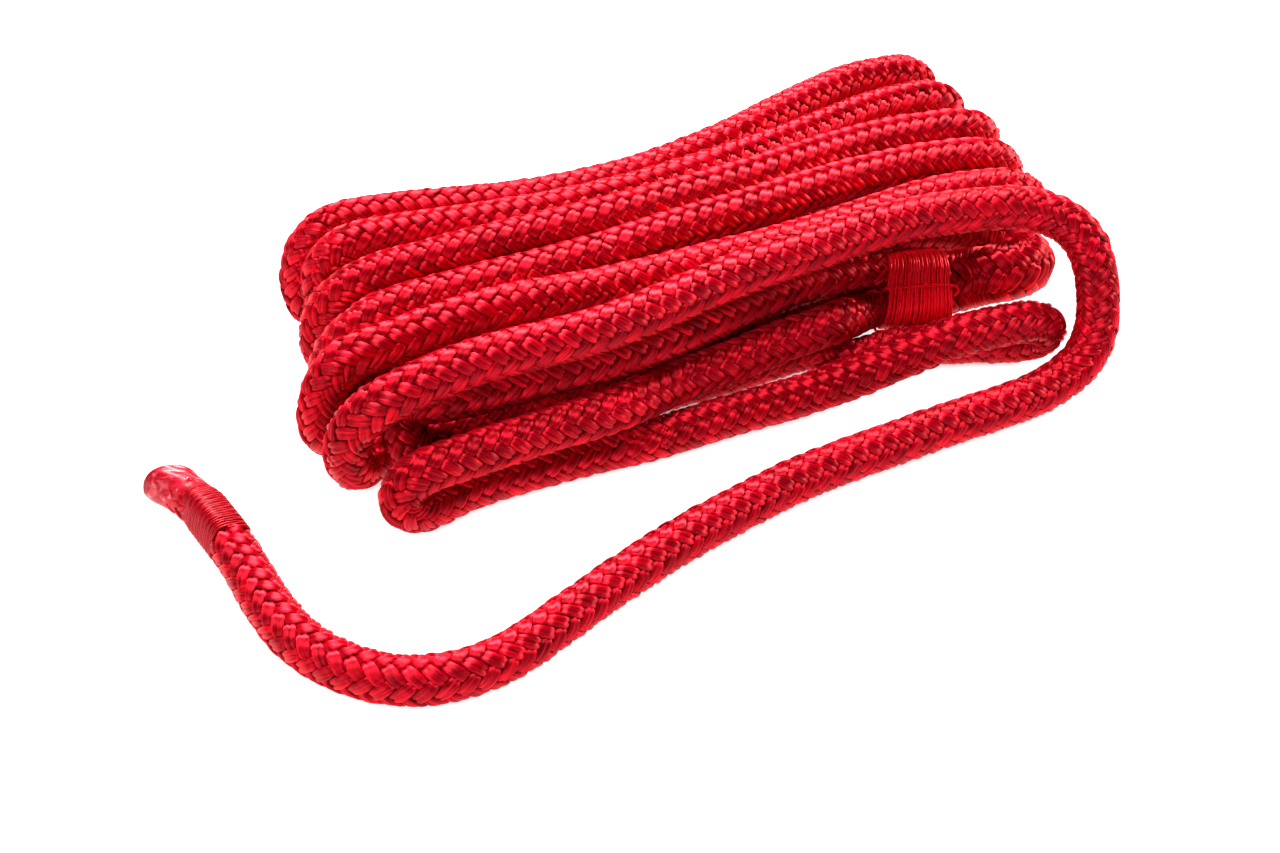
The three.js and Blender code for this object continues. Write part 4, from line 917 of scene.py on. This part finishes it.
mm_, nt, p = new_mat("clear_film")
tc = node(nt, "ShaderNodeTexCoord")
ns = node(nt, "ShaderNodeTexNoise")
ns.inputs["Scale"].default_value = 330
ns.inputs["Detail"].default_value = 3
ns.inputs["Distortion"].default_value = 0.8
nt.links.new(tc.outputs["Object"], ns.inputs["Vector"])
stain = node(nt, "ShaderNodeAttribute", attribute_name="stain").outputs["Fac"]
rim = node(nt, "ShaderNodeAttribute", attribute_name="rim").outputs["Fac"]
fac = ns.outputs["Fac"]
col = mix_color(nt, map_range(nt, fac, 0.42, 0.56), (0.40, 0.001, 0.010, 1), (0.70, 0.014, 0.036, 1))
col = mix_color(nt, map_range(nt, fac, 0.61, 0.70), col, (0.88, 0.26, 0.32, 1))
col = mix_color(nt, stain, (0.85, 0.02, 0.05, 1), col)
col = mix_color(nt, rim, col, (0.36, 0.001, 0.010, 1))
nt.links.new(col, p.inputs["Base Color"])
fres = node(nt, "ShaderNodeLayerWeight")
fres.inputs["Blend"].default_value = 0.30
edge = map_range(nt, fres.outputs["Fresnel"], 0.50, 1.0, 0.0, 0.06)
thick = map_range(nt, fac, 0.42, 0.60, 0.96, 0.72)
alpha = math_node(nt, "ADD", math_node(nt, "MULTIPLY", stain, thick), edge)
alpha = math_node(nt, "MAXIMUM", alpha, math_node(nt, "MULTIPLY", rim, 0.95))
alpha = math_node(nt, "MINIMUM", math_node(nt, "ADD", alpha, 0.015), 1.0)
nt.links.new(alpha, p.inputs["Alpha"])
bp = node(nt, "ShaderNodeBump")
bp.inputs["Strength"].default_value = 0.35
bp.inputs["Distance"].default_value = 0.0005
nt.links.new(math_node(nt, "MULTIPLY", fac, stain), bp.inputs["Height"])
nt.links.new(bp.outputs["Normal"], p.inputs["Normal"])
p.inputs["Roughness"].default_value = 0.30
p.inputs["Specular IOR Level"].default_value = 0.17
sleeve.data.materials.append(mm_)

mt, nt, p = new_mat("melted_nylon")
tc = node(nt, "ShaderNodeTexCoord")
ns = node(nt, "ShaderNodeTexNoise")
ns.inputs["Scale"].default_value = 500
nt.links.new(tc.outputs["Object"], ns.inputs["Vector"])
mx = node(nt, "ShaderNodeMix", data_type="RGBA")
mx.inputs["A"].default_value = (0.36, 0.001, 0.006, 1)
mx.inputs["B"].default_value = (0.92, 0.006, 0.03, 1)
nt.links.new(ns.outputs["Fac"], mx.inputs["Factor"])
nt.links.new(mx.outputs["Result"], p.inputs["Base Color"])
p.inputs["Roughness"].default_value = 0.18
tip.data.materials.append(mt)

end_pieces = [end_whip, end_body, tip, sleeve]
extras = [throat_whip, throat_body, *end_pieces]
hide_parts("throat_whipping")
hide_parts("throat_legs")
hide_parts("end_whipping")
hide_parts("tail_end")
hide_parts("sealed_tip")
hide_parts("end_sleeve")


for o in [core_main, core_eye, *braid_main, *braid_eye, *extras]:
    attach(o, "root")
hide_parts("hank_turns", "splice_cover")
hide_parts("splice_buried_tail", "tail_core")
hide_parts("tail_cover")
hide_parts("eye_cover")
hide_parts("eye_core")

# ------------------------------------------------------------------ floor, light, world
def area(name, loc, target, size, power, color=(1, 1, 1), size_y=None):
    d = bpy.data.lights.new(name, "AREA")
    d.energy = power
    d.color = color
    d.shape = "RECTANGLE"
    d.size = size
    d.size_y = size_y or size
    o = bpy.data.objects.new(name, d)
    o.location = loc
    v = Vector(target) - Vector(loc)
    o.rotation_euler = v.to_track_quat("-Z", "Y").to_euler()
    scene.collection.objects.link(o)
    return o


fm, fnt, fp = new_mat("floor")
fp.inputs["Base Color"].default_value = (0.35, 0.35, 0.35, 1)
fp.inputs["Roughness"].default_value = 0.9
fp.inputs["Specular IOR Level"].default_value = 0.0
fp.inputs["Emission Color"].default_value = (1, 1, 1, 1)
# painted shade: the floor's glow fades with ambient occlusion close to the line, a contact shadow painted into the
# floor
ao = node(fnt, "ShaderNodeAmbientOcclusion")
ao.samples = 8
ao.inputs["Distance"].default_value = 0.012
ao_contact_shade = node(fnt, "ShaderNodeMapRange")
ao_contact_shade.inputs["From Min"].default_value = 0.04
ao_contact_shade.inputs["From Max"].default_value = 0.20
fnt.links.new(ao.outputs["AO"], ao_contact_shade.inputs["Value"])
# the lit table is brighter to the line lying on it than the paper looks
straight = fnt.nodes.new("ShaderNodeLightPath")
boost = fnt.nodes.new("ShaderNodeMapRange")
boost.inputs["To Min"].default_value = 1.45
boost.inputs["To Max"].default_value = 1.0
fnt.links.new(straight.outputs["Is Camera Ray"], boost.inputs["Value"])
glow = fnt.nodes.new("ShaderNodeMath")
glow.operation = "MULTIPLY"
fnt.links.new(ao_contact_shade.outputs[0], glow.inputs[0])
fnt.links.new(boost.outputs[0], glow.inputs[1])
fnt.links.new(glow.outputs[0], fp.inputs["Emission Strength"])
bpy.ops.mesh.primitive_plane_add(size=8, location=(0, 0, 0))
floor = bpy.context.object
floor.name = "floor"
floor.data.materials.append(fm)

world = bpy.data.worlds.new("world")
scene.world = world
world.use_nodes = True
wn = world.node_tree
bg = wn.nodes["Background"]
bg.inputs["Color"].default_value = (1, 1, 1, 1)
path = wn.nodes.new("ShaderNodeLightPath")
seen = wn.nodes.new("ShaderNodeMapRange")
seen.inputs["To Min"].default_value = 0.06
seen.inputs["To Max"].default_value = 1.0
wn.links.new(path.outputs["Is Camera Ray"], seen.inputs["Value"])
wn.links.new(seen.outputs[0], bg.inputs["Strength"])

area("key_back", (0.30, 0.95, 0.92), (0, 0, 0.02), 0.6, 54.0, size_y=0.4)
area("front_left", (-0.95, -0.45, 0.42), (0, 0, 0.02), 0.6, 3.8)
area("side_right", (1.05, 0.02, 0.30), (0, 0, 0.02), 0.25, 11.0)
area("top", (-0.1, 0.1, 1.2), (0, 0, 0.02), 0.45, 14.0)

scene.view_settings.view_transform = "Standard"
scene.view_settings.look = "None"
scene.view_settings.exposure = 0.0
